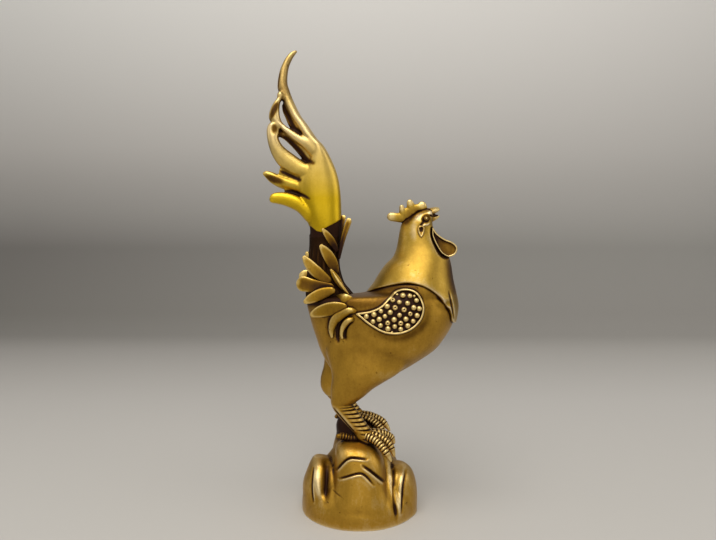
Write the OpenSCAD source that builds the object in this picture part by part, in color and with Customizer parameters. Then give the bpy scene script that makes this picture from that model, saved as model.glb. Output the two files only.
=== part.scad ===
// A cast brass rooster on a hollow rock, put together from separate castings.
// Millimetres. The origin is the middle of the foot ring, +X is the way the
// rooster faces, +Z is up, and its right side is at -Y.

/* [Rock base] */
// Diameter of the round foot of the rock
base_d = 60; // [52:1:72]
// Height of the front lobe of the rock, which the right foot stands on
rock_h = 38; // [34:1:44]
// Wall of the hollow rock at its foot
base_wall = 4.5; // [3:0.5:6]
// Height of the hollow inside the rock
hollow_h = 25; // [18:1:27]

/* [Legs] */
// Height of the hocks above the front lobe of the rock
leg_h = 15; // [13:1:18]
// Length of a foot, which its toes are shares of
foot_l = 20; // [17:1:22]
// Distance between the middles of the two feet
stance_w = 22; // [20:1:24]
// Thickness of a toe at its root
toe_d = 4.6; // [4:0.2:5.4]
// Diameter of the pegs that join castings end to end
peg_d = 4; // [3:0.2:4.6]
// Length of a peg
peg_l = 6; // [4:0.5:7]

/* [Body] */
// Length of the body from the root of the tail to the breast
body_l = 80; // [74:1:88]
// Height of the body from the hocks to the saddle
body_h = 60; // [54:1:66]
// Width of the body across the shoulders
body_w = 42; // [38:1:46]
// Wall of the hollow body and neck
cast_wall = 4; // [3:0.5:5]

/* [Neck and head] */
// Length that the outline of the cape and neck follows
neck_l = 50; // [46:1:54]
// Width of the cape across the shoulders
cape_w = 43.5; // [40:0.5:47]
// Length of the head, which the comb, beak, ear lobes and wattles follow
head_l = 20; // [18:0.5:22]
// Thickness of the comb
comb_t = 3; // [2.4:0.2:4]
// Thickness of a wattle
wattle_t = 2.2; // [1.8:0.2:3]
// Depth of the dish in a wattle
dish_depth = 0.9; // [0.5:0.1:1.2]
// Diameter of an eyeball
eye_d = 2.8; // [2.2:0.1:3.4]
// Thickness of the ring round an eye or an ear lobe
ring_t = 1; // [0.8:0.1:1.4]

/* [Wings] */
// Length of a wing shield
wing_l = 34; // [31:0.5:37]
// Thickness of the wing shield on the side of the body
wing_t = 1.4; // [1.2:0.1:2]
// Height of the wing rim above the shield
rim_h = 1.2; // [0.8:0.1:1.6]
// Width of the wing rim
rim_w = 0.9; // [0.8:0.1:1.1]
// Diameter of a wing bead
bead_d = 2.6; // [2.2:0.1:2.6]
// Thickness of the feathers behind a wing
feather_t = 3; // [2.4:0.2:3.6]

/* [Tail] */
// Height of the tail stem above the saddle
stem_h = 28; // [25:1:32]
// Thickness of the tail stem, front to back
stem_d = 17; // [15:0.5:19]
// Height of the plume above the stem
plume_h = 100; // [90:1:110]
// Thickness of the plume across its root
plume_t = 13; // [12:0.5:15]
// Thickness of a tail leaf
leaf_t = 2.4; // [2:0.1:3]

/* [Fits] */
// Gap round each peg in its hole
fit_gap = 0.15; // [0.1:0.05:0.25]
// Gap under each bead, which the solder fills
seat_gap = 0.08; // [0.06:0.01:0.12]

/* [Hidden] */
LEAF_COUNT = 8;
CREST_COUNT = 3;

// Facets round a casting of each size, and steps between two knots
large_sides = 28;
stem_sides = 18;
small_sides = 14;
toe_sides = 8;
leaf_sides = 8;
turned_sides = 20;
steps = 2;

// Places of the castings, each from the one that carries it
hock_z = rock_h + leg_h;
saddle_z = hock_z + body_h;
rump_share = 0.35;
rump_x = -rump_share * body_l;
stem_share = 0.125;
stem_x = rump_x + stem_share * body_l;
plume_z = saddle_z + stem_h;
head_share = [0.6, 0.74];
head_x = head_share.x * neck_l;
head_z = saddle_z + head_share.y * neck_l;
wing_share = [0.331, 0.833];
wing_x = rump_x + wing_share.x * body_l;
wing_z = hock_z + wing_share.y * body_h;
overrun = base_d;

// The middle of each foot's peg ahead of the foot's middle, how far it runs up
// into the shank, and how far the left foot stands above the front lobe, as
// shares of foot_l
right_peg_share = 0.1;
left_peg_share = -0.08;
foot_bed_share = 0.15;
left_rest_share = 0.33;
left_rest_z = rock_h + left_rest_share * foot_l;

// Rock lobes, bottom to top: height as a share of rock_h, then middle x and y,
// half length and half width as shares of base_d
core_shares = [
    [0, 0, 0, 0.5, 0.5], [0.16, 0, 0, 0.498, 0.498], [0.3, 0, 0, 0.47, 0.47],
    [0.45, 0, 0, 0.42, 0.42], [0.6, 0, 0, 0.355, 0.355], [0.8, 0, 0, 0.27, 0.27],
    [0.95, 0, 0, 0.18, 0.18]
];
left_hump_shares = [
    [0, -0.24, -0.1, 0.24, 0.25], [0.21, -0.243, -0.1, 0.243, 0.25],
    [0.39, -0.25, -0.1, 0.236, 0.24], [0.53, -0.262, -0.1, 0.198, 0.215],
    [0.63, -0.283, -0.1, 0.14, 0.165], [0.69, -0.305, -0.1, 0.065, 0.08]
];
right_hump_shares = [
    [0, 0.25, -0.083, 0.245, 0.25], [0.24, 0.252, -0.083, 0.247, 0.25],
    [0.41, 0.26, -0.083, 0.226, 0.23], [0.54, 0.28, -0.083, 0.178, 0.19],
    [0.61, 0.305, -0.083, 0.11, 0.125], [0.64, 0.33, -0.083, 0.045, 0.05]
];
front_lobe_shares = [
    [0, 0.005, -0.24, 0.235, 0.255], [0.26, 0.005, -0.24, 0.23, 0.245],
    [0.53, 0.005, -0.225, 0.22, 0.235], [0.74, -0.003, -0.215, 0.207, 0.215],
    [0.87, -0.02, -0.21, 0.185, 0.19], [0.95, -0.04, -0.2, 0.15, 0.15],
    [1, -0.055, -0.19, 0.08, 0.08]
];
crest_shares = [
    [0, -0.017, 0.167, 0.25, 0.3], [0.39, -0.017, 0.15, 0.242, 0.275],
    [0.74, -0.033, 0.133, 0.225, 0.217], [0.95, -0.042, 0.125, 0.2, 0.183],
    [1.1, -0.067, 0.117, 0.158, 0.142], [1.2, -0.092, 0.108, 0.1, 0.1],
    [1.22, -0.1, 0.1, 0.05, 0.05]
];
back_right_shares = [
    [0, 0.2, 0.167, 0.233, 0.2], [0.53, 0.2, 0.15, 0.192, 0.183],
    [0.79, 0.183, 0.15, 0.142, 0.15], [0.92, 0.167, 0.15, 0.092, 0.1],
    [0.98, 0.15, 0.15, 0.042, 0.042]
];
back_left_shares = [
    [0, -0.217, 0.2, 0.2, 0.2], [0.32, -0.217, 0.2, 0.192, 0.192],
    [0.53, -0.217, 0.183, 0.158, 0.158], [0.66, -0.217, 0.167, 0.083, 0.083],
    [0.7, -0.217, 0.167, 0.033, 0.033]
];

// The hollow of the rock: radius as a share of that of its mouth, height of hollow_h
rock_hollow_shares = [[1, 0], [0.9, 0.35], [0.5, 0.9], [0.3, 1]];
// How square the flat-faced lobes are, where 2 is an ellipse
block_power = 2.4;

// A shank, foot to hock: back x and z, front x and z, then sideways place and
// half width. x and widths are shares of foot_l, heights of leg_h above rock_h.
right_shank_shares = [
    [-0.05, -0.1, 0.42, 0, 0, 0.23], [-0.1, 0.07, 0.4, 0.17, 0, 0.22],
    [-0.16, 0.25, 0.335, 0.28, 0.01, 0.205], [-0.27, 0.41, 0.23, 0.45, 0.02, 0.2],
    [-0.4, 0.6, 0.125, 0.64, 0.03, 0.2], [-0.54, 0.8, 0.02, 0.85, 0.045, 0.21],
    [-0.66, 1, -0.11, 1.07, 0.06, 0.225], [-0.725, 1.2, -0.16, 1.2, 0.07, 0.235]
];
left_shank_shares = [
    [-0.28, 0.3, 0.175, 0.37, 0, 0.22], [-0.325, 0.47, 0.13, 0.53, 0, 0.21],
    [-0.45, 0.63, 0.01, 0.73, -0.01, 0.205], [-0.6, 0.8, -0.11, 0.93, -0.02, 0.21],
    [-0.75, 0.97, -0.225, 1.08, -0.03, 0.225], [-0.9, 1.2, -0.3, 1.2, -0.03, 0.235]
];
// Toes, root to tip, as shares of foot_l from the middle of the foot on rock_h,
// with the outward side at -Y, and the thickness along a toe as shares of toe_d
right_toe_shares = [
    [[0.15, -0.1, 0.125], [0.4, -0.25, 0.05], [0.62, -0.37, -0.15], [0.79, -0.42, -0.42]],
    [[0.2, 0, 0.15], [0.52, -0.05, 0.075], [0.77, -0.07, -0.12], [0.89, -0.08, -0.42]],
    [[0.2, 0.12, 0.14], [0.55, 0.25, 0.1], [0.8, 0.35, -0.02], [0.92, 0.38, -0.22]],
    [[0.05, 0, 0.05], [-0.22, -0.03, 0.04], [-0.42, -0.06, 0.1], [-0.6, -0.07, 0.12]]
];
left_toe_shares = [
    [[0, -0.12, 0.33], [0.33, -0.28, 0.25], [0.58, -0.4, 0.03], [0.72, -0.44, -0.25]],
    [[0.02, 0, 0.36], [0.32, 0.03, 0.33], [0.62, 0.05, 0.2], [0.84, 0.06, -0.08]],
    [[0, 0.12, 0.34], [0.3, 0.28, 0.28], [0.55, 0.4, 0.12], [0.7, 0.44, -0.12]],
    [[-0.12, 0, 0.32], [-0.36, -0.03, 0.32], [-0.55, -0.05, 0.31], [-0.68, -0.06, 0.27]]
];
toe_thickness_shares = [1, 0.95, 0.8, 0.3];

// The trunk, bottom to top: height above the hocks as a share of body_h, back x
// and front x as shares of body_l from the rump, half width as a share of body_w
trunk_shares = [
    [0.2, 0.24, 0.47, 0.14], [0.3, 0.175, 0.62, 0.25], [0.4, 0.125, 0.745, 0.35],
    [0.5, 0.09, 0.85, 0.43], [0.6, 0.065, 0.91, 0.475], [0.7, 0.04, 0.955, 0.495],
    [0.8, 0.02, 0.98, 0.495], [0.9, 0.005, 0.98, 0.475], [0.95, 0.03, 0.965, 0.45],
    [0.975, 0.2, 0.955, 0.435], [1, 0.39, 0.945, 0.42], [1.07, 0.45, 0.9, 0.39],
    [1.12, 0.52, 0.82, 0.22]
];
// Rows of the trunk that its hollow follows, and the hollow's mouth into the neck
trunk_hollow_rows = [2 : 7];
trunk_mouth_shares = [[1, 0.52, 0.84, 0.2], [1.25, 0.56, 0.8, 0.17]];
trunk_bulge = 0.2;
// A thigh, hock to hip: back x and z, front x and z, sideways place, half width.
// x is a share of body_l from the rump, z of body_h, and the rest of body_w.
right_thigh_shares = [
    [0.169, 0.05, 0.31, 0.05, 0.228, 0.112], [0.1675, 0.108, 0.3775, 0.113, 0.23, 0.143],
    [0.1665, 0.175, 0.4375, 0.18, 0.23, 0.171], [0.1725, 0.242, 0.5125, 0.242, 0.228, 0.2],
    [0.1725, 0.308, 0.594, 0.308, 0.224, 0.224], [0.13, 0.4, 0.68, 0.4, 0.216, 0.238],
    [0.13, 0.5, 0.72, 0.5, 0.2, 0.226]
];
left_thigh_shares = [
    [0.125, 0.05, 0.275, 0.05, 0.245, 0.112], [0.095, 0.1, 0.3125, 0.108, 0.25, 0.143],
    [0.084, 0.158, 0.375, 0.175, 0.25, 0.167], [0.089, 0.233, 0.45, 0.25, 0.248, 0.19],
    [0.106, 0.317, 0.54, 0.333, 0.24, 0.214], [0.12, 0.433, 0.625, 0.45, 0.228, 0.23]
];

// Cape, neck and head, bottom to top: back x and z, front x and z as shares of
// neck_l from the saddle, and the half width as a share of cape_w
neck_shares = [
    [-0.04, -0.16, 1.01, -0.36, 0.46], [0.08, 0.01, 1.045, -0.16, 0.455],
    [0.15, 0.1, 1.02, 0, 0.43], [0.21, 0.2, 0.99, 0.14, 0.385],
    [0.28, 0.295, 0.97, 0.28, 0.32], [0.355, 0.37, 0.94, 0.38, 0.265],
    [0.392, 0.46, 0.87, 0.49, 0.215], [0.412, 0.56, 0.815, 0.59, 0.183],
    [0.43, 0.66, 0.78, 0.68, 0.163], [0.46, 0.74, 0.772, 0.725, 0.152],
    [0.56, 0.81, 0.775, 0.765, 0.142], [0.66, 0.865, 0.775, 0.805, 0.122],
    [0.725, 0.885, 0.77, 0.84, 0.09]
];
// Rows of the neck that its hollow follows, above a mouth that meets the trunk's
neck_hollow_rows = [3 : 7];
neck_mouth_shares = [0.27, -0.1, 0.78, -0.1, 0.2];
neck_bulge = 0.1;
// The lower edge of the cape, seen from the side, back to front
cape_edge_shares = [
    [-0.1, -0.02], [0.08, 0.01], [0.2, 0.05], [0.45, 0.11], [0.6, 0.08], [0.7, 0.02],
    [0.77, -0.06], [0.81, -0.13], [0.88, -0.14], [0.91, -0.22], [0.94, -0.3], [1.1, -0.33]
];

// Head pieces, as shares of head_l from the middle of the head
upper_beak_shares = [
    [0.33, 0.35, 0.39, 0.15, 0.12], [0.42, 0.37, 0.45, 0.2, 0.1],
    [0.52, 0.365, 0.52, 0.26, 0.06], [0.62, 0.345, 0.61, 0.32, 0.02]
];
lower_beak_shares = [
    [0.39, 0.14, 0.4, -0.04, 0.09], [0.47, 0.14, 0.49, 0, 0.075],
    [0.55, 0.15, 0.56, 0.07, 0.05], [0.62, 0.165, 0.62, 0.13, 0.02]
];
// Comb lobes: root x and z, root radius, tip x and z, tip radius
comb_shares = [
    [-0.3, 0.06, 0.12, -0.68, 0.12, 0.1], [-0.3, 0.2, 0.13, -0.39, 0.4, 0.065],
    [-0.08, 0.27, 0.14, -0.18, 0.56, 0.055], [0.17, 0.35, 0.12, 0.16, 0.48, 0.09]
];
comb_root_shares = [
    [-0.42, 0.04], [-0.45, 0.2], [-0.27, 0.37], [0.02, 0.44], [0.32, 0.42], [0.32, 0.28],
    [-0.1, -0.02]
];
// Places of the eyes and ear lobes as shares of neck_l from the saddle, and how
// far they stand from the middle plane as a share of cape_w. The bed that joins
// an eyeball to its ring stands out by a share of ring_t.
eye_place_share = [0.692, 0.764];
eye_stand_share = 0.14;
eye_bed_share = 0.25;
ear_place_share = [0.636, 0.652];
ear_size_share = [0.1, 0.32];
ear_stand_share = 0.184;
// The foot of the ear lobe's drop and the hole in it, as shares of its half width
drop_tip_share = 0.25;
ear_hole_share = 0.5;
// A wattle's outline, as a smooth loop
wattle_shares = [
    [0.41, -0.16], [0.51, -0.295], [0.61, -0.385], [0.76, -0.475], [0.915, -0.535],
    [1.015, -0.61], [1.06, -0.7], [1.045, -0.805], [0.97, -0.895], [0.835, -0.94],
    [0.715, -0.895], [0.61, -0.805], [0.51, -0.64], [0.43, -0.475], [0.39, -0.325]
];
wattle_rim_share = 0.065;
wattle_side_share = 0.1;

// A wing's outline from its tail point, as shares of wing_l
wing_shares = [
    [0, 0], [0.2, 0.04], [0.35, 0.11], [0.46, 0.22], [0.58, 0.33], [0.74, 0.36],
    [0.89, 0.3], [0.98, 0.12], [0.95, -0.06], [0.82, -0.21], [0.62, -0.29],
    [0.4, -0.275], [0.2, -0.17], [0.06, -0.06]
];
// The middle of the shield, the rings of its field out from there, and the depth
// inside the trunk that its sides start from, as a share of body_w
wing_middle_share = [0.6, 0.03];
wing_field_shares = [1, 0.75, 0.5, 0.25];
wing_boss_share = 0.04;
wing_root_share = 0.3;
// Rows of beads from the top down: start, middle, end as shares of wing_l
bead_row_shares = [
    [[0.15, -0.04], [0.375, 0], [0.525, 0.19]],
    [[0.245, -0.11], [0.515, -0.03], [0.675, 0.25]],
    [[0.35, -0.165], [0.675, -0.08], [0.775, 0.25]],
    [[0.455, -0.21], [0.757, -0.135], [0.865, 0.185]],
    [[0.635, -0.215], [0.855, -0.135], [0.903, 0.07]]
];
bead_row_counts = [5, 7, 7, 7, 5];
// How far a bead's middle stands out of the shield, as a share of its diameter
bead_rise_share = 0.16;

// Feathers behind a wing: path points from the wing's tail point, then the half
// widths along the path, both as shares of wing_l
upper_feather_shares = [
    [[-0.03, 0.03], [-0.11, 0.035], [-0.2, -0.02], [-0.31, -0.1], [-0.365, -0.235],
     [-0.36, -0.38]],
    [0.045, 0.06, 0.068, 0.06, 0.04, 0.01]
];
lower_feather_shares = [
    [[-0.06, -0.09], [-0.12, -0.11], [-0.17, -0.165], [-0.205, -0.235], [-0.218, -0.32],
     [-0.2, -0.385]],
    [0.035, 0.045, 0.04, 0.03, 0.024, 0.008]
];
saddle_feather_shares = [
    [[0, 0.16], [-0.09, 0.185], [-0.19, 0.21], [-0.29, 0.235]],
    [0.085, 0.085, 0.055, 0.01]
];
feather_stand_share = 0.3;
feather_taper_share = 0.5;

// The stem, bottom to top: left x, z, right x, z and half width. x and widths
// are shares of stem_d from stem_x, heights of stem_h above the saddle.
stem_shares = [
    [-0.5, -0.36, 0.82, -0.3, 0.55], [-0.6, -0.15, 0.92, -0.1, 0.54],
    [-0.62, 0, 0.78, 0.04, 0.52], [-0.6, 0.18, 0.58, 0.2, 0.5],
    [-0.55, 0.5, 0.45, 0.5, 0.46], [-0.5, 0.8, 0.46, 0.8, 0.43],
    [-0.47, 1, 0.49, 1, 0.42]
];

// Plume blades, as shares of plume_h from the top of the stem: two edges, a
// sideways place and a half thickness as shares of plume_t
plume_main_shares = [
    [-0.08, 0, 0.083, 0, 0, 0.42], [-0.075, 0.055, 0.086, 0.06, 0, 0.5],
    [-0.085, 0.12, 0.085, 0.14, 0, 0.52], [-0.095, 0.21, 0.079, 0.25, 0, 0.5],
    [-0.1, 0.3, 0.064, 0.335, 0, 0.47], [-0.055, 0.398, 0.036, 0.41, 0, 0.43],
    [-0.062, 0.475, -0.004, 0.485, 0, 0.4], [-0.112, 0.54, -0.044, 0.53, 0, 0.37],
    [-0.148, 0.603, -0.092, 0.596, 0, 0.34], [-0.181, 0.65, -0.134, 0.65, 0, 0.32],
    [-0.218, 0.724, -0.175, 0.728, 0, 0.29], [-0.248, 0.785, -0.195, 0.785, 0, 0.27],
    [-0.252, 0.825, -0.201, 0.825, 0, 0.25], [-0.244, 0.875, -0.2, 0.87, 0, 0.22],
    [-0.23, 0.917, -0.193, 0.911, 0, 0.19], [-0.208, 0.958, -0.178, 0.948, 0, 0.16],
    [-0.182, 0.986, -0.164, 0.972, 0, 0.12], [-0.155, 0.997, -0.148, 0.991, 0, 0.06]
];
plume_second_shares = [
    [-0.02, 0.36, -0.01, 0.49, 0, 0.38], [-0.095, 0.443, -0.06, 0.54, -0.02, 0.36],
    [-0.13, 0.482, -0.116, 0.544, -0.05, 0.33], [-0.187, 0.526, -0.16, 0.564, -0.1, 0.3],
    [-0.24, 0.575, -0.205, 0.59, -0.16, 0.26], [-0.288, 0.615, -0.23, 0.62, -0.22, 0.23],
    [-0.292, 0.655, -0.239, 0.665, -0.25, 0.21], [-0.274, 0.7, -0.24, 0.71, -0.25, 0.2],
    [-0.25, 0.745, -0.22, 0.745, -0.22, 0.17], [-0.238, 0.763, -0.23, 0.763, -0.2, 0.08]
];
plume_third_shares = [
    [-0.09, 0.19, 0.03, 0.31, 0, 0.4], [-0.13, 0.305, -0.055, 0.388, 0, 0.37],
    [-0.18, 0.336, -0.103, 0.402, -0.04, 0.34], [-0.243, 0.385, -0.175, 0.45, -0.1, 0.32],
    [-0.278, 0.438, -0.219, 0.485, -0.17, 0.29], [-0.298, 0.498, -0.242, 0.523, -0.23, 0.26],
    [-0.305, 0.56, -0.24, 0.56, -0.26, 0.22], [-0.288, 0.597, -0.249, 0.6, -0.26, 0.14]
];
plume_fourth_shares = [
    [-0.02, 0.17, -0.02, 0.31, 0, 0.38], [-0.09, 0.213, -0.115, 0.302, 0, 0.34],
    [-0.165, 0.245, -0.17, 0.318, 0.04, 0.3], [-0.24, 0.27, -0.24, 0.34, 0.08, 0.26],
    [-0.29, 0.298, -0.29, 0.358, 0.1, 0.21], [-0.32, 0.328, -0.32, 0.36, 0.1, 0.14],
    [-0.333, 0.343, -0.333, 0.35, 0.1, 0.06]
];
plume_fifth_shares = [
    [-0.02, 0.06, 0.01, 0.19, 0, 0.42], [-0.088, 0.082, -0.078, 0.2, -0.03, 0.4],
    [-0.145, 0.14, -0.14, 0.226, -0.1, 0.34], [-0.205, 0.17, -0.19, 0.24, -0.17, 0.29],
    [-0.25, 0.184, -0.235, 0.24, -0.22, 0.24], [-0.278, 0.195, -0.27, 0.226, -0.25, 0.16],
    [-0.287, 0.205, -0.284, 0.214, -0.25, 0.07]
];

// Tail leaves, the lowest layer first: root x, z, tip x, z, bow and half width
// as shares of stem_d and stem_h, then the stand of root and tip from the stem
tail_leaf_shares = [
    [0.59, 0.05, 0.18, 0.43, 0.02, 0.12, 0.5, 0.46],
    [0.41, 0.75, -0.07, 1.17, -0.08, 0.12, 0.36, 0.5],
    [0.44, 0.32, -0.1, 0.87, -0.12, 0.2, 0.42, 0.56],
    [0.24, 0.2, -0.61, 0.66, 0.14, 0.19, 0.5, 0.5],
    [0.29, 0.12, -0.81, 0.27, 0.08, 0.22, 0.54, 0.5],
    [0.35, 0.07, -0.61, -0.17, -0.08, 0.19, 0.62, 0.56],
    [0.7, -0.25, -0.42, -0.43, -0.1, 0.23, 0.98, 0.56],
    [0.76, -0.04, 0.25, 0.375, 0.04, 0.06, 0.6, 0.52]
];
// The leaves ahead of the plume, whose x is from the front edge of its foot
crest_leaf_shares = [
    [-0.096, 0.82, 0.094, 1.45, 0.05, 0.09, 0],
    [-0.066, 0.62, 0.284, 1.39, 0.06, 0.1, -0.2],
    [-0.066, 0.62, 0.284, 1.39, 0.06, 0.1, 0.2]
];
half_width_taper_shares = [0.55, 0.9, 1, 0.9, 0.6, 0.15];

// A place on a smooth curve through the knots p, between knots i and i + 1
function knot(p, i) = p[min(max(i, 0), len(p) - 1)];
function between(a, b, c, d, t) =
    b + t / 2 * ((c - a) + t * ((2 * a - 5 * b + 4 * c - d) + t * (3 * b - 3 * c + d - a)));
function smooth(p, n) = [
    for (i = [0 : len(p) - 2], k = [0 : n - 1])
        between(knot(p, i - 1), knot(p, i), knot(p, i + 1), knot(p, i + 2), k / n),
    p[len(p) - 1]
];
// The same for a closed loop
function smooth_loop(p, n) = [
    for (i = [0 : len(p) - 1], k = [0 : n - 1])
        let (m = len(p))
        between(p[(i + m - 1) % m], p[i], p[(i + 1) % m], p[(i + 2) % m], k / n)
];
function mean(list) = [for (p = list) 1] * list / len(list);
function rounded(v, power) = sign(v) * pow(abs(v), 2 / power);

// One ring between two edge points a and b, as wide as w each side of y. Bulge
// makes the b end fuller, and power 2 is an ellipse, more is squarer.
function ring(a, b, y, w, sides, bulge = 0, power = 2) = [
    for (k = [0 : sides - 1])
        let (turn = 360 * k / sides, c = rounded(cos(turn), power), s = rounded(sin(turn), power))
        [(a.x + b.x) / 2 + c * (b.x - a.x) / 2,
         y + w * s * (1 + bulge * c),
         (a.y + b.y) / 2 + c * (b.y - a.y) / 2]
];
// One ring across a path, half_w wide each side and half_t thick towards normal
function path_ring(p, i, half_w, half_t, normal, sides) =
    let (along = knot(p, i + 1) - knot(p, i - 1),
         side = cross(along, normal) / norm(cross(along, normal)),
         up = cross(side, along) / norm(cross(side, along)))
    [for (k = [0 : sides - 1])
        let (turn = 360 * k / sides)
        p[i] + half_w * cos(turn) * side + half_t * sin(turn) * up];

// A closed skin over rings, turned the right way out
module skin(rings) {
    n = len(rings[0]);
    last = len(rings) - 1;
    middle = mean(rings[0]);
    facing = cross(rings[0][0] - middle, rings[0][floor(n / 4)] - middle)
        * (mean(rings[1]) - middle);
    flip = facing < 0;
    sides = [
        for (i = [0 : last - 1], k = [0 : n - 1])
            let (a = i * n + k, b = i * n + (k + 1) % n, c = a + n, d = b + n)
            each flip ? [[a, d, c], [a, b, d]] : [[a, c, d], [a, d, b]]
    ];
    bottom = [for (k = [0 : n - 1]) flip ? n - 1 - k : k];
    top = [for (k = [0 : n - 1]) last * n + (flip ? k : n - 1 - k)];
    polyhedron([for (r = rings) each r], concat([bottom], sides, [top]));
}

// One merged skin, for castings whose lumps run into each other
module cast() resize([0, 0, 0]) children();

// Rows of [a.x, a.z, b.x, b.z, y, w] in millimetres, as a smooth skin
module ladder(rows, sides, bulge = 0, power = 2) {
    skin([for (r = smooth(rows, steps))
        ring([r[0], r[1]], [r[2], r[3]], r[4], r[5], sides, bulge, power)]);
}

// A flattened tapering rod along path points, for toes, feathers and leaves
module blade(points, half_ws, half_ts, normal, sides) {
    p = smooth(points, steps);
    w = smooth(half_ws, steps);
    t = smooth(half_ts, steps);
    skin([for (i = [0 : len(p) - 1]) path_ring(p, i, w[i], t[i], normal, sides)]);
}

module lobe(shares, power = 2) {
    ladder([for (s = shares)
        [(s[1] - s[3]) * base_d, s[0] * rock_h, (s[1] + s[3]) * base_d, s[0] * rock_h,
         s[2] * base_d, s[4] * base_d]], large_sides, power = power);
}

module rock_solid() {
    lobe(core_shares);
    lobe(left_hump_shares);
    lobe(right_hump_shares);
    lobe(front_lobe_shares, block_power);
    lobe(crest_shares, block_power);
    lobe(back_right_shares, block_power);
    lobe(back_left_shares);
}

// A peg from z up, or the hole for it with a gap all round. Bed is how far it
// runs on into the casting that carries it.
module peg(x, y, z, gap, bed = 0) {
    translate([x, y, z - gap])
        cylinder(d = peg_d + 2 * gap, h = peg_l + bed + 2 * gap, $fn = turned_sides);
}

module right_foot_peg(gap)
    peg(right_peg_share * foot_l, -stance_w / 2, rock_h - peg_l, gap, foot_bed_share * foot_l);
module left_foot_peg(gap)
    peg(left_peg_share * foot_l, stance_w / 2, left_rest_z - peg_l, gap, foot_bed_share * foot_l);

module rock_base() {
    inner_r = base_d / 2 - base_wall;
    color("darkgoldenrod")
    cast() difference() {
        rock_solid();
        rotate_extrude($fn = large_sides)
            polygon(concat([[0, -base_wall], [inner_r, -base_wall]],
                [for (s = rock_hollow_shares) [s.x * inner_r, s.y * hollow_h]], [[0, hollow_h]]));
        right_foot_peg(fit_gap);
        left_foot_peg(fit_gap);
    }
}

function shank_rows(shares, side) = [
    for (s = shares)
        [s[0] * foot_l, rock_h + s[1] * leg_h, s[2] * foot_l, rock_h + s[3] * leg_h,
         side * (stance_w / 2 - s[4] * foot_l), s[5] * foot_l]
];

module toe(shares, side) {
    points = [for (s = shares)
        [s.x * foot_l, side * (stance_w / 2 - s.y * foot_l), rock_h + s.z * foot_l]];
    halves = [for (s = toe_thickness_shares) s * toe_d / 2];
    blade(points, halves, halves, [0, 0, 1], toe_sides);
}

module leg_solid(shank_shares, toe_shares, side) {
    ladder(shank_rows(shank_shares, side), small_sides);
    for (t = toe_shares) toe(t, side);
}

// The peg on top of a shank, which stands in the thigh
module hock_peg(shares, side, gap) {
    top = shank_rows(shares, side)[len(shares) - 1];
    peg((top[0] + top[2]) / 2, top[4], top[1], gap);
}

module right_leg() {
    color("goldenrod")
    cast() {
        difference() {
            leg_solid(right_shank_shares, right_toe_shares, -1);
            rock_solid();
        }
        right_foot_peg(0);
        hock_peg(right_shank_shares, -1, 0);
    }
}

module left_leg() {
    color("goldenrod")
    cast() {
        difference() {
            leg_solid(left_shank_shares, left_toe_shares, 1);
            rock_solid();
        }
        left_foot_peg(0);
        hock_peg(left_shank_shares, 1, 0);
    }
}

function trunk_rows(shares, inset) = [
    for (s = shares)
        [rump_x + s[1] * body_l + inset, hock_z + s[0] * body_h,
         rump_x + s[2] * body_l - inset, hock_z + s[0] * body_h, 0, s[3] * body_w - inset]
];
function thigh_rows(shares, side) = [
    for (s = shares)
        [rump_x + s[0] * body_l, hock_z + s[1] * body_h,
         rump_x + s[2] * body_l, hock_z + s[3] * body_h, side * s[4] * body_w, s[5] * body_w]
];
// How far the side of the trunk is from the middle plane at x and z
function trunk_side(x, z) =
    let (rows = smooth(trunk_rows(trunk_shares, 0), steps),
         i = max([for (k = [0 : len(rows) - 2]) if (rows[k][1] <= z) k]),
         r = rows[i] + (rows[i + 1] - rows[i]) * (z - rows[i][1]) / (rows[i + 1][1] - rows[i][1]),
         c = (2 * x - r[0] - r[2]) / (r[2] - r[0]))
    r[5] * sqrt(max(1 - c * c, 0)) * (1 + trunk_bulge * c);

module trunk_solid(inset = 0) {
    ladder(trunk_rows(trunk_shares, inset), large_sides, trunk_bulge);
}

module body() {
    hollow = concat([for (i = trunk_hollow_rows) trunk_shares[i]], trunk_mouth_shares);
    color("darkgoldenrod")
    cast() difference() {
        union() {
            trunk_solid();
            ladder(thigh_rows(right_thigh_shares, -1), small_sides);
            ladder(thigh_rows(left_thigh_shares, 1), small_sides);
        }
        ladder(trunk_rows(hollow, cast_wall), small_sides, trunk_bulge);
        hock_peg(right_shank_shares, -1, fit_gap);
        hock_peg(left_shank_shares, 1, fit_gap);
    }
}

function neck_rows(shares, inset) = [
    for (s = shares)
        [s[0] * neck_l + inset, saddle_z + s[1] * neck_l, s[2] * neck_l - inset,
         saddle_z + s[3] * neck_l, 0, s[4] * cape_w - inset]
];

module neck_solid() {
    difference() {
        ladder(neck_rows(neck_shares, 0), large_sides, neck_bulge);
        translate([0, overrun, saddle_z]) rotate([90, 0, 0]) linear_extrude(2 * overrun)
            polygon(concat(
                [for (p = smooth(cape_edge_shares, steps)) p * neck_l],
                [[overrun, -overrun], [-overrun, -overrun]]));
    }
}

module neck_and_head() {
    hollow = concat([neck_mouth_shares], [for (i = neck_hollow_rows) neck_shares[i]]);
    color("goldenrod")
    cast() difference() {
        neck_solid();
        trunk_solid();
        ladder(neck_rows(hollow, cast_wall), small_sides, neck_bulge);
    }
}

module mirrored(side) {
    if (side < 0) children();
    else mirror([0, 1, 0]) children();
}

// A flat outline seen from the right side, from y1 out to y2 on that side
module side_plate(y1, y2) {
    translate([0, -y1, 0]) rotate([90, 0, 0]) linear_extrude(y2 - y1) children();
}

module comb() {
    color("goldenrod")
    cast() difference() {
        translate([head_x, 0, head_z]) side_plate(-comb_t / 2, comb_t / 2) {
            for (s = comb_shares * head_l) hull() {
                translate([s[0], s[1]]) circle(s[2], $fn = stem_sides);
                translate([s[3], s[4]]) circle(s[5], $fn = stem_sides);
            }
            polygon(comb_root_shares * head_l);
        }
        neck_solid();
    }
}

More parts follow.
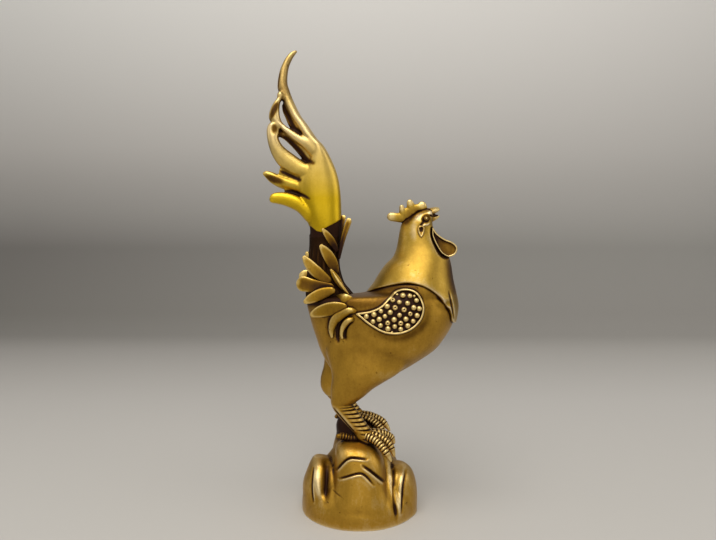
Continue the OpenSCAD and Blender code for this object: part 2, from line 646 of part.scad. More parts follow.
module beak(shares) {
    cast() difference() {
        translate([head_x, 0, head_z])
            ladder([for (s = shares) [s[0], s[1], s[2], s[3], 0, s[4]] * head_l], small_sides);
        neck_solid();
    }
}
module upper_beak() color("gold") beak(upper_beak_shares);
module lower_beak() color("gold") beak(lower_beak_shares);

module eye(side) {
    cast() mirrored(side) difference() {
        translate([eye_place_share.x * neck_l, -eye_stand_share * cape_w,
                   saddle_z + eye_place_share.y * neck_l]) {
            sphere(d = eye_d, $fn = stem_sides);
            rotate([90, 0, 0]) {
                rotate_extrude($fn = turned_sides)
                    translate([(eye_d + ring_t) / 2, 0]) circle(d = ring_t, $fn = leaf_sides);
                translate([0, 0, -ring_t])
                    cylinder(d = eye_d + ring_t, h = (1 + eye_bed_share) * ring_t,
                        $fn = turned_sides);
            }
        }
        neck_solid();
    }
}
module right_eye() color("gold") eye(-1);
module left_eye() color("gold") eye(1);

// A drop with a round top and a pointed foot
module drop(half_w, height) {
    hull() {
        circle(half_w, $fn = turned_sides);
        translate([0, half_w - height]) circle(drop_tip_share * half_w, $fn = toe_sides);
    }
}

module ear_lobe(side) {
    half_w = ear_size_share.x * head_l;
    height = ear_size_share.y * head_l;
    stand = ear_stand_share * cape_w;
    cast() mirrored(side) difference() {
        translate([ear_place_share.x * neck_l, 0, saddle_z + ear_place_share.y * neck_l])
            difference() {
                side_plate(0, stand) drop(half_w, height);
                side_plate(stand - ring_t, overrun)
                    circle(ear_hole_share * half_w, $fn = small_sides);
            }
        neck_solid();
    }
}
module right_ear_lobe() color("goldenrod") ear_lobe(-1);
module left_ear_lobe() color("goldenrod") ear_lobe(1);

module wattle(side) {
    inner_y = wattle_side_share * head_l;
    outline = smooth_loop(wattle_shares * head_l, steps);
    cast() mirrored(side) difference() {
        translate([head_x, 0, head_z]) difference() {
            side_plate(inner_y, inner_y + wattle_t) polygon(outline);
            side_plate(inner_y + wattle_t - dish_depth, overrun)
                offset(-wattle_rim_share * head_l) polygon(outline);
        }
        neck_solid();
        for (shares = [upper_beak_shares, lower_beak_shares]) translate([head_x, 0, head_z])
            ladder([for (s = shares) [s[0], s[1], s[2], s[3], 0, s[4]] * head_l], small_sides);
    }
}
module right_wattle() color("goldenrod") wattle(-1);
module left_wattle() color("goldenrod") wattle(1);

function bezier(row, t) =
    (1 - t) * (1 - t) * row[0] + 2 * t * (1 - t) * row[1] + t * t * row[2];
// Places of the beads, seen from the right side
function bead_places() = [
    for (i = [0 : len(bead_row_counts) - 1], k = [0 : bead_row_counts[i] - 1])
        [wing_x, wing_z] + bezier(bead_row_shares[i], k / (bead_row_counts[i] - 1)) * wing_l
];

// An outline moved inward by d, for one that runs clockwise
function inward(loop, d) = [
    for (i = [0 : len(loop) - 1])
        let (m = len(loop), run = loop[(i + 1) % m] - loop[(i + m - 1) % m])
        loop[i] + d / norm(run) * [run.y, -run.x]
];
// The same outline laid on the side of the trunk, and standing off it
function laid(loop, stand) = [for (p = loop) [p.x, -trunk_side(p.x, p.y) - stand, p.y]];

module wing_solid() {
    tail = [wing_x, wing_z];
    middle = tail + wing_middle_share * wing_l;
    outline = [for (p = smooth_loop(wing_shares * wing_l, steps)) tail + p];
    field = inward(outline, rim_w);
    stand = trunk_side(middle.x, middle.y) + wing_t;
    skin(concat(
        [[for (p = outline) [p.x, -wing_root_share * body_w, p.y]],
         laid(outline, wing_t + rim_h), laid(field, wing_t + rim_h)],
        [for (k = wing_field_shares) laid([for (p = field) middle + k * (p - middle)], wing_t)],
        [[for (p = field) let (q = middle + wing_boss_share * (p - middle)) [q.x, -stand, q.y]]]));
}

module wing(side) {
    cast() mirrored(side) difference() {
        wing_solid();
        trunk_solid();
    }
}
module right_wing() color("darkgoldenrod") wing(-1);
module left_wing() color("darkgoldenrod") wing(1);

// A round-headed bead that stands square to the shield at p
module bead(p) {
    reach = bead_d / 2;
    stand = trunk_side(p.x, p.y);
    lean_x = atan((trunk_side(p.x + reach, p.y) - stand) / reach);
    lean_z = atan((trunk_side(p.x, p.y + reach) - stand) / reach);
    translate([p.x, -stand - wing_t - seat_gap / cos(lean_z), p.y])
        rotate([90 - lean_z, 0, 0]) rotate([0, -lean_x, 0])
            intersection() {
                translate([0, 0, bead_rise_share * bead_d]) sphere(d = bead_d, $fn = turned_sides);
                translate([-bead_d, -bead_d, 0]) cube(2 * bead_d);
            }
}

module wing_beads(side) {
    mirrored(side) for (p = bead_places()) bead(p);
}
module right_wing_beads() color("gold") wing_beads(-1);
module left_wing_beads() color("gold") wing_beads(1);

module feather_solid(shares) {
    points = [for (p = shares[0] * wing_l)
        let (x = wing_x + p.x, z = wing_z + p.y)
        [x, -trunk_side(x, z) - feather_stand_share * feather_t, z]];
    half_ws = shares[1] * wing_l;
    last = len(half_ws) - 1;
    half_ts = [for (i = [0 : last]) feather_t / 2 * (1 - feather_taper_share * i / last)];
    blade(points, half_ws, half_ts, [0, -1, 0], toe_sides);
}

module wing_feathers_solid() {
    feather_solid(upper_feather_shares);
    feather_solid(lower_feather_shares);
    feather_solid(saddle_feather_shares);
}

module feather(shares, side) {
    cast() mirrored(side) difference() {
        feather_solid(shares);
        trunk_solid();
        wing_solid();
        neck_solid();
    }
}
module right_upper_wing_feather() color("goldenrod") feather(upper_feather_shares, -1);
module left_upper_wing_feather() color("goldenrod") feather(upper_feather_shares, 1);
module right_lower_wing_feather() color("goldenrod") feather(lower_feather_shares, -1);
module left_lower_wing_feather() color("goldenrod") feather(lower_feather_shares, 1);
module right_saddle_feather() color("goldenrod") feather(saddle_feather_shares, -1);
module left_saddle_feather() color("goldenrod") feather(saddle_feather_shares, 1);

module stem_solid() {
    ladder([for (s = stem_shares)
        [stem_x + s[0] * stem_d, saddle_z + s[1] * stem_h,
         stem_x + s[2] * stem_d, saddle_z + s[3] * stem_h, 0, s[4] * stem_d]], stem_sides);
}

module plume_peg(gap) peg(stem_x, 0, plume_z, gap);

module tail_stem() {
    color("saddlebrown")
    cast() {
        difference() {
            stem_solid();
            trunk_solid();
            feather_solid(saddle_feather_shares);
            mirror([0, 1, 0]) feather_solid(saddle_feather_shares);
        }
        plume_peg(0);
    }
}

module plume_blade(shares) {
    ladder([for (s = shares)
        [stem_x + s[0] * plume_h, plume_z + s[1] * plume_h,
         stem_x + s[2] * plume_h, plume_z + s[3] * plume_h, s[4] * plume_t, s[5] * plume_t]],
        small_sides);
}

module tail_plume() {
    color("gold")
    cast() difference() {
        union() {
            plume_blade(plume_main_shares);
            plume_blade(plume_second_shares);
            plume_blade(plume_third_shares);
            plume_blade(plume_fourth_shares);
            plume_blade(plume_fifth_shares);
        }
        plume_peg(fit_gap);
    }
}

// A leaf on the right side of the stem, bowed between its root and its tip
module leaf_solid(root, tip, bow, half_w) {
    count = len(half_width_taper_shares);
    span = tip - root;
    middle = (root + tip) / 2 + bow * [-span.z, 0, span.x];
    points = [for (i = [0 : count - 1]) bezier([root, middle, tip], i / (count - 1))];
    blade(points, half_width_taper_shares * half_w, half_width_taper_shares * leaf_t / 2,
        [0, -1, 0], leaf_sides);
}

function stem_place(x_share, z_share, stand_share) =
    [stem_x + x_share * stem_d, -stand_share * stem_d, saddle_z + z_share * stem_h];

module tail_leaf_solid(i) {
    s = tail_leaf_shares[i - 1];
    leaf_solid(stem_place(s[0], s[1], s[6]), stem_place(s[2], s[3], s[7]), s[4], s[5] * stem_d);
}

module crest_leaf_solid(i) {
    s = crest_leaf_shares[i - 1];
    ahead = [plume_main_shares[0][2] * plume_h, 0, 0];
    leaf_solid(ahead + stem_place(s[0], s[1], s[6]), ahead + stem_place(s[2], s[3], s[6]),
        s[4], s[5] * stem_d);
}

module tail_leaf(i, side) {
    color("peru")
    cast() mirrored(side) difference() {
        tail_leaf_solid(i);
        trunk_solid();
        stem_solid();
        plume_blade(plume_main_shares);
        wing_feathers_solid();
        if (i > 1) for (k = [1 : i - 1]) tail_leaf_solid(k);
    }
}

module front_leaf(i) {
    color("peru")
    cast() difference() {
        crest_leaf_solid(i);
        stem_solid();
        plume_blade(plume_main_shares);
        for (k = [1 : LEAF_COUNT], side = [-1, 1]) mirrored(side) tail_leaf_solid(k);
        if (i > 1) for (k = [1 : i - 1]) crest_leaf_solid(k);
    }
}

rock_base();
right_leg();
left_leg();
body();
neck_and_head();
comb();
upper_beak();
lower_beak();
right_eye();
left_eye();
right_ear_lobe();
left_ear_lobe();
right_wattle();
left_wattle();
right_wing();
left_wing();
right_wing_beads();
left_wing_beads();
right_upper_wing_feather();
left_upper_wing_feather();
right_lower_wing_feather();
left_lower_wing_feather();
right_saddle_feather();
left_saddle_feather();
tail_stem();
tail_plume();
for (i = [1 : LEAF_COUNT]) {
    tail_leaf(i, -1);
    tail_leaf(i, 1);
}
for (i = [1 : CREST_COUNT]) front_leaf(i);
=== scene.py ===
"""A cast brass rooster with a dark antique patina, standing on a hollow rock.

Lengths are in millimetres up to the moment a mesh is made, which is in metres.
+X is the way the rooster faces, +Z is up, and its right side is at -Y.
"""
import logging
import math
from collections.abc import Callable, Iterable
from dataclasses import dataclass, field
from enum import Enum

import bpy
import numpy as np
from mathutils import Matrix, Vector


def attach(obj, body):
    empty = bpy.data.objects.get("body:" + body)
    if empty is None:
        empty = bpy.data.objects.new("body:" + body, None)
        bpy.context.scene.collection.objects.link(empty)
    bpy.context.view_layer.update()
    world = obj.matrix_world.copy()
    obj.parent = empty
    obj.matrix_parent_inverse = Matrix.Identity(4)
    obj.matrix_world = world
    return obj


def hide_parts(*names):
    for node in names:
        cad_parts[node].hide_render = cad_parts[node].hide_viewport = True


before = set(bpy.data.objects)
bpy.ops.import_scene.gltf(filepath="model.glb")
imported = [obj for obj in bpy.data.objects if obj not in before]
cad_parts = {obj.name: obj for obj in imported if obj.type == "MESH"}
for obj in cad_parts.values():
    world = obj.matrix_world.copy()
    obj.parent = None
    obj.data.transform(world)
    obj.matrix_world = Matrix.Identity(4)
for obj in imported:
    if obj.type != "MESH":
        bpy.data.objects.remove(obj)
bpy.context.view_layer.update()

Array = np.ndarray
Pair = tuple[float, float]
Triple = tuple[float, float, float]
Row = tuple[float, ...]
Colour = Triple
Socket = bpy.types.NodeSocket
LOG = logging.getLogger("rooster")

# A millimetre in metres, and the least length that a vector is divided by
MM = 0.001
LEAST = 1e-12
# How far in from a rod's end its first ring lies, as a share of the half width there
TIP = 0.003


class Side(Enum):
    """The two sides of the rooster, by the sign of Y."""

    RIGHT = -1
    LEFT = 1

    @property
    def word(self) -> str:
        """The side's name as the CAD nodes spell it."""
        return self.name.lower()


# Surfaces


@dataclass
class Form:
    """A closed surface in millimetres, how dark each point is painted, for patina and painted shade,
    and how bright, for wear and painted highlights.
    """

    points: Array
    quads: Array = field(default_factory=lambda: np.zeros((0, 4), int))
    tris: Array = field(default_factory=lambda: np.zeros((0, 3), int))
    cut: Array | None = None
    rubbed: Array | None = None

    def __post_init__(self) -> None:
        """Starts both masks at zero where none is given."""
        if self.cut is None:
            self.cut = np.zeros(len(self.points))
        if self.rubbed is None:
            self.rubbed = np.zeros(len(self.points))

    def triangles(self) -> Array:
        """All faces as triangles, each quad split along its first diagonal."""
        q = self.quads
        return np.vstack([self.tris, q[:, [0, 1, 2]], q[:, [0, 2, 3]]])

    def outward(self) -> "Form":
        """The same form with its faces turned outwards.

        A closed surface holds a sixth of the sum of a . (b x c) over its triangles,
        which is negative where the faces point in.
        """
        t = self.triangles()
        a, b, c = (self.points[t[:, i]] for i in range(3))
        if np.einsum("ij,ij->", a, np.cross(b, c)) < 0:
            self.quads, self.tris = self.quads[:, ::-1], self.tris[:, ::-1]
        return self

    def facing(self) -> Array:
        """Unit normals at the points: the area vectors of the faces round each, added.

        Returns:
            Normals of shape (n, 3).
        """
        t = self.triangles()
        a, b, c = (self.points[t[:, i]] for i in range(3))
        across = np.cross(b - a, c - a)
        corner = t.ravel()
        return unit(np.stack([np.bincount(corner, np.repeat(across[:, k], 3), len(self.points))
                              for k in range(3)], 1))

    def seen_from(self, side: Side) -> Array:
        """How much each point faces a side, from 0 to 1, and 0 past the middle plane."""
        turned = step(side.value * self.facing()[:, 1], 0.05, 0.4)
        return turned * (side.value * self.points[:, 1] > 0)

    def edges(self) -> Array:
        """Every edge once, as pairs of point numbers."""
        rows = [np.stack([f[:, k], f[:, (k + 1) % f.shape[1]]], 1)
                for f in (self.quads, self.tris) for k in range(f.shape[1])]
        pairs = np.sort(np.vstack(rows), axis=1)
        keys = np.unique(pairs[:, 0] * len(self.points) + pairs[:, 1])
        return np.stack([keys // len(self.points), keys % len(self.points)], 1)

    def push(self, amount: Array) -> None:
        """Moves each point along its own normal by an amount in millimetres."""
        self.points = self.points + self.facing() * amount[:, None]

    def mirrored(self) -> "Form":
        """The same form on the other side of the middle plane."""
        return Form(self.points * [1, -1, 1], self.quads[:, ::-1], self.tris[:, ::-1],
                    self.cut.copy(), self.rubbed.copy())

    def on(self, side: Side) -> "Form":
        """A form that was made on the right, put on the given side."""
        return self if side is Side.RIGHT else self.mirrored()


def joined(forms: list[Form]) -> Form:
    """Several forms as one, side by side and not yet fused."""
    start = np.cumsum([0] + [len(f.points) for f in forms[:-1]])
    return Form(np.vstack([f.points for f in forms]),
                np.vstack([f.quads + s for f, s in zip(forms, start)]),
                np.vstack([f.tris + s for f, s in zip(forms, start)]),
                np.concatenate([f.cut for f in forms]),
                np.concatenate([f.rubbed for f in forms]))


def smooth(knots: Array, steps: int, closed: bool = False) -> Array:
    """A Catmull-Rom curve through knots, each span in equal steps of t.

    Between b and c, with a before and d after, it is
    b + t/2 ((c - a) + t ((2a - 5b + 4c - d) + t (3b - 3c + d - a))).

    Args:
        knots: rows of any number of columns.
        steps: points to a span.
        closed: whether the last knot leads back to the first.

    Returns:
        The curve's rows, with the last knot at the end of an open one.
    """
    k = np.asarray(knots, float)
    k = k[:, None] if k.ndim == 1 else k
    n = len(k)
    i = np.arange(n if closed else n - 1)
    places = [(i + j) % n if closed else np.clip(i + j, 0, n - 1) for j in (-1, 0, 1, 2)]
    a, b, c, d = (k[p][:, None, :] for p in places)
    t = (np.arange(steps) / steps)[None, :, None]
    out = b + t / 2 * ((c - a) + t * ((2 * a - 5 * b + 4 * c - d) + t * (3 * b - 3 * c + d - a)))
    out = out.reshape(-1, k.shape[1])
    return out if closed else np.vstack([out, k[-1:]])


def step(x: Array, low: float, high: float) -> Array:
    """An S-curve 3t^2 - 2t^3 from 0 at low to 1 at high."""
    t = np.clip((x - low) / (high - low), 0, 1)
    return t * t * (3 - 2 * t)


def unit(v: Array) -> Array:
    """Vectors of length one along the last axis."""
    return v / np.maximum(np.linalg.norm(v, axis=-1, keepdims=True), LEAST)


def ladder(rows: Array, sides: int, steps: int, bulge: float = 0, power: float = 2) -> Array:
    """Rings between pairs of edge points.

    Each row is back x, back z, front x, front z, middle y and half width. A ring is
    the superellipse |c|^power + |s|^power = 1, stretched from the back point to the
    front one and to the half width, which is 1 + bulge c times as wide at c.

    Args:
        rows: from one end of the form to the other.
        sides: points to a ring.
        steps: rings to the span between two rows.
        bulge: how much wider a ring is towards the front.
        power: 2 for ellipses, more for squarer rings.

    Returns:
        A grid of shape (rings, sides, 3).
    """
    r = smooth(rows, steps)[:, :, None]
    c, s = oval(sides, power).T
    return np.stack([(r[:, 0] + r[:, 2]) / 2 + c * (r[:, 2] - r[:, 0]) / 2,
                     r[:, 4] + r[:, 5] * s * (1 + bulge * c),
                     (r[:, 1] + r[:, 3]) / 2 + c * (r[:, 3] - r[:, 1]) / 2], -1)


def rungs(shares: tuple, start: Pair, sizes: Triple) -> Array:
    """A ladder's rows in millimetres: the start plus each share times its size.

    Args:
        shares: rows of back x, back z, front x, front z, middle y and half width, or
            of five where the middle y is 0 and left out.
        start: the x and z that the shares count from.
        sizes: the length, height and width that they are shares of.

    Returns:
        Rows of six.
    """
    s = np.array(shares, float)
    if s.shape[1] == 5:
        s = np.insert(s, 4, 0, axis=1)
    (x, z), (length, height, width) = start, sizes
    return np.array([x, z, x, z, 0, 0]) + s * [length, height, length, height, width, width]


def sweep(path: Array, wide: Array, thick: Array, up: Array, section: Array) -> Array:
    """A section carried along a path.

    Args:
        path: places of shape (m, 3).
        wide: half width at each place.
        thick: half thickness at each place.
        up: the direction that the thickness leans towards.
        section: unit outline of shape (k, 2).

    Returns:
        A grid of shape (m, k, 3), place + wide u across + thick v upwards.
    """
    along = np.gradient(path, axis=0)
    across = unit(np.cross(along, up))
    above = unit(np.cross(across, along))
    return (path[:, None] + wide[:, None, None] * section[:, :1] * across[:, None]
            + thick[:, None, None] * section[:, 1:] * above[:, None])


def run_along(path: Array) -> Array:
    """The length run along a path up to each of its places."""
    return np.concatenate([[0], np.cumsum(np.linalg.norm(np.diff(path, axis=0), axis=1))])


def bent(a: Array, b: Array, c: Array, count: int) -> Array:
    """Places on the curve (1-t)^2 a + 2t(1-t) b + t^2 c at even t."""
    t = np.linspace(0, 1, count)[:, None]
    return (1 - t) ** 2 * a + 2 * t * (1 - t) * b + t * t * c


def turns(sides: int) -> Array:
    """Even angles round a full turn."""
    return np.arange(sides) * 2 * math.pi / sides


def circle(sides: int) -> Array:
    """A unit circle as a section."""
    return np.stack([np.cos(turns(sides)), np.sin(turns(sides))], 1)


def between(rings: Array) -> Array:
    """The quads between neighbouring rings, from point numbers of shape (rings, sides)."""
    beside = np.roll(rings, -1, 1)
    return np.stack([rings[:-1], beside[:-1], beside[1:], rings[1:]], -1).reshape(-1, 4)


def skin(grid: Array) -> Form:
    """A closed form over a grid of rings, each end closed with a fan to its middle.

    Args:
        grid: places of shape (rings, sides, 3).

    Returns:
        The form, whose last two points are the middles of its ends.
    """
    m, n, _ = grid.shape
    a = np.arange(m * n).reshape(m, n)
    b = np.roll(a, -1, 1)
    ends = np.stack([grid[0].mean(0), grid[-1].mean(0)])
    tris = np.vstack([np.stack([b[0], a[0], np.full(n, m * n)], 1),
                      np.stack([a[-1], b[-1], np.full(n, m * n + 1)], 1)])
    return Form(np.vstack([grid.reshape(-1, 3), ends]), between(a), tris).outward()


def spread(values: Array | list, sides: int, ends: Pair = (0, 0)) -> Array:
    """A number for each point of a skin.

    Args:
        values: one for each ring, or a grid of shape (rings, sides).
        sides: points to a ring.
        ends: what the middles of the two ends get.

    Returns:
        The numbers in the order of the skin's points.
    """
    grid = np.asarray(values, float)
    grid = grid[:, None] if grid.ndim == 1 else grid
    return np.append(np.broadcast_to(grid, (len(grid), sides)), ends)


def hoop(path: Array, radius: float, sides: int = 12) -> Form:
    """A round wire along a closed path: place + r (cos u across + sin u above).

    Args:
        path: places of shape (n, 3).
        radius: the wire's own.
        sides: points to a ring of the wire.

    Returns:
        The closed form.
    """
    along = np.roll(path, -1, 0) - np.roll(path, 1, 0)
    across = unit(np.cross(along, path - path.mean(0)))
    above = unit(np.cross(across, along))
    c = circle(sides) * radius
    grid = path[:, None] + c[:, :1] * across[:, None] + c[:, 1:] * above[:, None]
    a = np.arange(len(path) * sides).reshape(-1, sides)
    return Form(grid.reshape(-1, 3), between(np.vstack([a, a[:1]]))).outward()


def oval(sides: int, power: float = 2, dish: float = 0) -> Array:
    """A superellipse as a section, sunk on its upper side by dish (1 - x^2)."""
    c = circle(sides)
    c = np.sign(c) * np.abs(c) ** (2 / power)
    c[:, 1] -= dish * (1 - c[:, 0] ** 2) * step(c[:, 1], 0, .5)
    return c


def rod(knots: Array, wide: tuple, thick: tuple, section: Array, rings: int = 56,
        steps: int = 24) -> Form:
    """A tapering rod along a smooth curve, with round ends.

    The rings are at s = L (1 - cos(pi u)) / 2 for even u, so they crowd at the ends.
    At a distance d from an end whose half width is r, both half sizes are
    sqrt(1 - (1 - d / r)^2) of their full ones.

    Args:
        knots: places on the curve.
        wide: half widths at equal steps of the length.
        thick: half thicknesses likewise, out towards the right.
        section: the outline across.
        rings: how many rings.
        steps: points to a span of the curve, before the rings are spaced on it.

    Returns:
        The closed form.
    """
    path = smooth(np.array(knots, float), steps)
    run = run_along(path)
    total = run[-1]
    s = total * (1 - np.cos(math.pi * np.linspace(0, 1, rings))) / 2
    path = np.stack([np.interp(s, run, path[:, k]) for k in range(3)], 1)
    sizes = []
    for values in (wide, thick):
        fine = smooth(np.array(values, float), steps)[:, 0]
        sizes.append(np.interp(s / total, np.linspace(0, 1, len(fine)), fine))
    cap = np.ones(rings)
    for d, r in ((s, sizes[0][0]), (total - s, sizes[0][-1])):
        cap *= np.sqrt(1 - (1 - np.clip(d / r, TIP, 1)) ** 2)
    return skin(sweep(path, sizes[0] * cap, sizes[1] * cap, np.array([0, -1, 0]), section))


def inward(loop: Array, gap: float) -> Array:
    """A closed outline of x and z, clockwise, moved in by a gap."""
    run = np.roll(loop, -1, 0) - np.roll(loop, 1, 0)
    return loop + gap * unit(np.stack([run[:, 1], -run[:, 0]], 1))


def domed(places: Array, normals: Array, radii: Array, profile: Array, sides: int) -> Form:
    """Many round bosses, one profile turned about the normal at each place.

    A point is place + r (p (cos u across + sin u above) + h normal), for a profile of
    p out from the axis and h along it.

    Args:
        places: where the bosses stand, of shape (n, 3).
        normals: the way that each stands.
        radii: how large each is.
        profile: rows of p and h for a boss of radius 1.
        sides: points to a ring.

    Returns:
        The bosses as one form.
    """
    across = unit(np.cross(normals, [0, 0, 1.]))
    above = np.cross(normals, across)
    c = circle(sides)
    lie = (c[None, :, :1] * across[:, None] + c[None, :, 1:] * above[:, None])
    grid = (places[:, None, None] + radii[:, None, None, None]
            * (profile[None, :, None, :1] * lie[:, None]
               + profile[None, :, None, 1:] * normals[:, None, None]))
    return joined([skin(g) for g in grid])


def hull_heights(form: Form, x: Array, z: Array, margin: float = 2.0) -> Array:
    """How far a form's right side lies out from the middle plane at places x and z.

    It is the mean of the nearby points that face right, each by 1 / (d^2 + 0.01)^2
    at a distance d.

    Args:
        form: the form.
        x: the places along the rooster.
        z: their heights.
        margin: how far outside the places points still count.

    Returns:
        A distance for each place.
    """
    at, flat = np.stack([x, z], 1), form.points[:, [0, 2]]
    near = ((-form.facing()[:, 1] > .1) & (flat > at.min(0) - margin).all(1)
            & (flat < at.max(0) + margin).all(1))
    weight = 1 / (((flat[near] - at[:, None]) ** 2).sum(-1) + .01) ** 2
    return -(weight * form.points[near, 1]).sum(1) / weight.sum(1)


def to_mesh(form: Form, name: str, scale: float = 1) -> bpy.types.Mesh:
    """A Blender mesh of a form.

    Args:
        form: the form.
        name: the mesh's name.
        scale: what the points are multiplied by.

    Returns:
        The mesh, in no object yet.
    """
    mesh = bpy.data.meshes.new(name)
    mesh.from_pydata((form.points * scale).tolist(), [],
                     form.quads.tolist() + form.tris.tolist())
    mesh.update()
    return mesh


def linked(name: str, data: bpy.types.ID) -> bpy.types.Object:
    """A new object in the scene, at the origin until it is moved."""
    obj = bpy.data.objects.new(name, data)
    bpy.context.scene.collection.objects.link(obj)
    return obj


def cleared(bench: bpy.types.Object) -> None:
    """Removes an object that was only worked on, and its mesh."""
    mesh = bench.data
    bpy.data.objects.remove(bench)
    bpy.data.meshes.remove(mesh)


def from_mesh(mesh: bpy.types.Mesh) -> Form:
    """The form in a mesh whose faces are all triangles and quads."""
    points = np.empty(len(mesh.vertices) * 3)
    mesh.vertices.foreach_get("co", points)
    corners = np.empty(len(mesh.loops), int)
    mesh.loops.foreach_get("vertex_index", corners)
    start, total = (np.empty(len(mesh.polygons), int) for _ in range(2))
    mesh.polygons.foreach_get("loop_start", start)
    mesh.polygons.foreach_get("loop_total", total)
    faces = [corners[start[total == k][:, None] + np.arange(k)] for k in (4, 3)]
    return Form(points.reshape(-1, 3), *faces)


def through(form: Form, *work: tuple[str, dict]) -> Form:
    """A form after some of Blender's modifiers, worked on a bench object.

    Args:
        form: the form to work on.
        work: each modifier's type, and its settings by name.

    Returns:
        The worked form, with both masks at zero.
    """
    bench = linked("bench", to_mesh(form, "bench"))
    for kind, settings in work:
        modifier = bench.modifiers.new(kind, kind)
        for name, value in settings.items():
            setattr(modifier, name, value)
    graph = bpy.context.evaluated_depsgraph_get()
    mesh = bpy.data.meshes.new_from_object(bench.evaluated_get(graph))
    out = from_mesh(mesh)
    bpy.data.meshes.remove(mesh)
    cleared(bench)
    return out


def melted(forms: list[Form], grain: float) -> Form:
    """Overlapping forms as one skin of even small quads."""
    return through(joined(forms), ("REMESH", {"mode": "VOXEL", "voxel_size": grain}))


def less(form: Form, other: Form) -> Form:
    """A closed form with another one taken out of it, sharp along the seam.

    Args:
        form: the form that is cut.
        other: the closed form that is taken out.

    Returns:
        The cut form.
    """
    tool = linked("tool", to_mesh(other, "tool"))
    out = through(form, ("BOOLEAN", {"operation": "DIFFERENCE", "solver": "MANIFOLD",
                                     "object": tool}),
                  ("TRIANGULATE", {"min_vertices": 5}))
    cleared(tool)
    return out


def relaxed(form: Form, rounds: int, hold: Array | None = None) -> Form:
    """Smooths a form without shrinking it.

    Each round moves a point half way to the mean of its neighbours and then 0.53 of
    the way back out, which damps small bumps and keeps large shapes.

    Args:
        form: the form, changed in place.
        rounds: how many rounds.
        hold: for each point, 0 to leave it where it is, up to 1 to smooth it fully.

    Returns:
        The same form.
    """
    e = form.edges()
    n = len(form.points)
    ends = np.concatenate([e[:, 0], e[:, 1]])
    others = np.concatenate([e[:, 1], e[:, 0]])
    count = np.maximum(np.bincount(ends, minlength=n), 1)[:, None]
    free = np.ones((n, 1)) if hold is None else hold[:, None]
    p = form.points
    for _ in range(rounds):
        for pull in (0.5, -0.53):
            mean = np.stack([np.bincount(ends, p[others, k], n) for k in range(3)], 1) / count
            p = p + pull * free * (mean - p)
    form.points = p
    return form


def nearest(p: Array, a: Array, run: Array) -> tuple[Array, Array]:
    """Where each place comes nearest to each straight span.

    Args:
        p: places of shape (n, 2).
        a: where the spans start, of shape (m, 2).
        run: their ends less their starts.

    Returns:
        The share t of the span, (p - a) . run / |run|^2 held between 0 and 1, and the
        way p - a - t run from there to the place.
    """
    away = p[:, None] - a
    t = np.clip((away * run).sum(-1) / (run ** 2).sum(-1), 0, 1)
    return t, away - t[..., None] * run


@dataclass(frozen=True)
class Stroke:
    """A line cut into a casting, drawn as seen from one side.

    The groove is depth exp(-(d / width)^2) deep at a distance d, fades at both ends
    with the root of sin(pi s), and has a raised lip on one side of the line.
    """

    line: tuple
    width: float
    depth: float
    lip: float = 0.0
    lip_side: int = 1
    steps: int = 5
    dark: float = 1.0
    fade: float = 0.5
    painted_highlight: float = 0.0

    def apply(self, form: Form, side: Side) -> None:
        """Cuts the line into what faces a side, or raises it where depth is below 0.

        Args:
            form: the form, changed in place.
            side: the side that the line is drawn on.
        """
        seen = form.seen_from(side)
        near = np.flatnonzero(seen > 0)
        k = smooth(np.array(self.line), self.steps)
        run = np.diff(k, axis=0)
        size = np.linalg.norm(run, axis=1)
        t, gap = nearest(form.points[near][:, [0, 2]], k[:-1], run)
        d = np.linalg.norm(gap, axis=-1)
        j = d.argmin(1)
        row = np.arange(len(near))
        d, t, gap = d[row, j], t[row, j], gap[row, j]
        s = (run_along(k)[j] + t * size[j]) / size.sum()
        turn = np.sign(run[j, 0] * gap[:, 1] - run[j, 1] * gap[:, 0])
        ends = np.sin(math.pi * np.clip(s, 0.02, 0.98)) ** self.fade
        groove = np.exp(-(d / self.width) ** 2) * ends * seen[near]
        ridge = (np.exp(-((d - 2 * self.width) / (1.1 * self.width)) ** 2) * ends
                 * seen[near] * (turn == self.lip_side))
        move = np.zeros(len(form.points))
        move[near] = self.lip * ridge - self.depth * groove
        form.push(move)
        # The groove's darkness is patina in the cut lines and painted shade in the strokes laid as
        # shadows; painted_highlight paints a highlight along the line.
        form.cut[near] = np.maximum(form.cut[near], self.dark * groove)
        form.rubbed[near] = np.maximum(form.rubbed[near], (self.lip > 0) * ridge
                                       + self.painted_highlight * groove)


@dataclass(frozen=True)
class Dent:
    """A round dish, or a boss where depth is negative, as seen from one side."""

    place: Pair
    size: Pair
    turn: float
    depth: float
    dark: float = 0.0

    def apply(self, form: Form, side: Side) -> None:
        """Sinks depth exp(-r^4) into what faces a side, r the ellipse's radius.

        Args:
            form: the form, changed in place.
            side: the side that the dish is on.
        """
        seen = form.seen_from(side)
        p = form.points[:, [0, 2]] - self.place
        c, s = math.cos(math.radians(self.turn)), math.sin(math.radians(self.turn))
        r = np.hypot((c * p[:, 0] + s * p[:, 1]) / self.size[0],
                     (c * p[:, 1] - s * p[:, 0]) / self.size[1])
        dish = np.exp(-r ** 4) * seen
        form.push(-self.depth * dish)
        # dark paints the dish darker: shade in the eye's socket and on the plume's turned lobes.
        form.cut = np.maximum(form.cut, self.dark * dish)


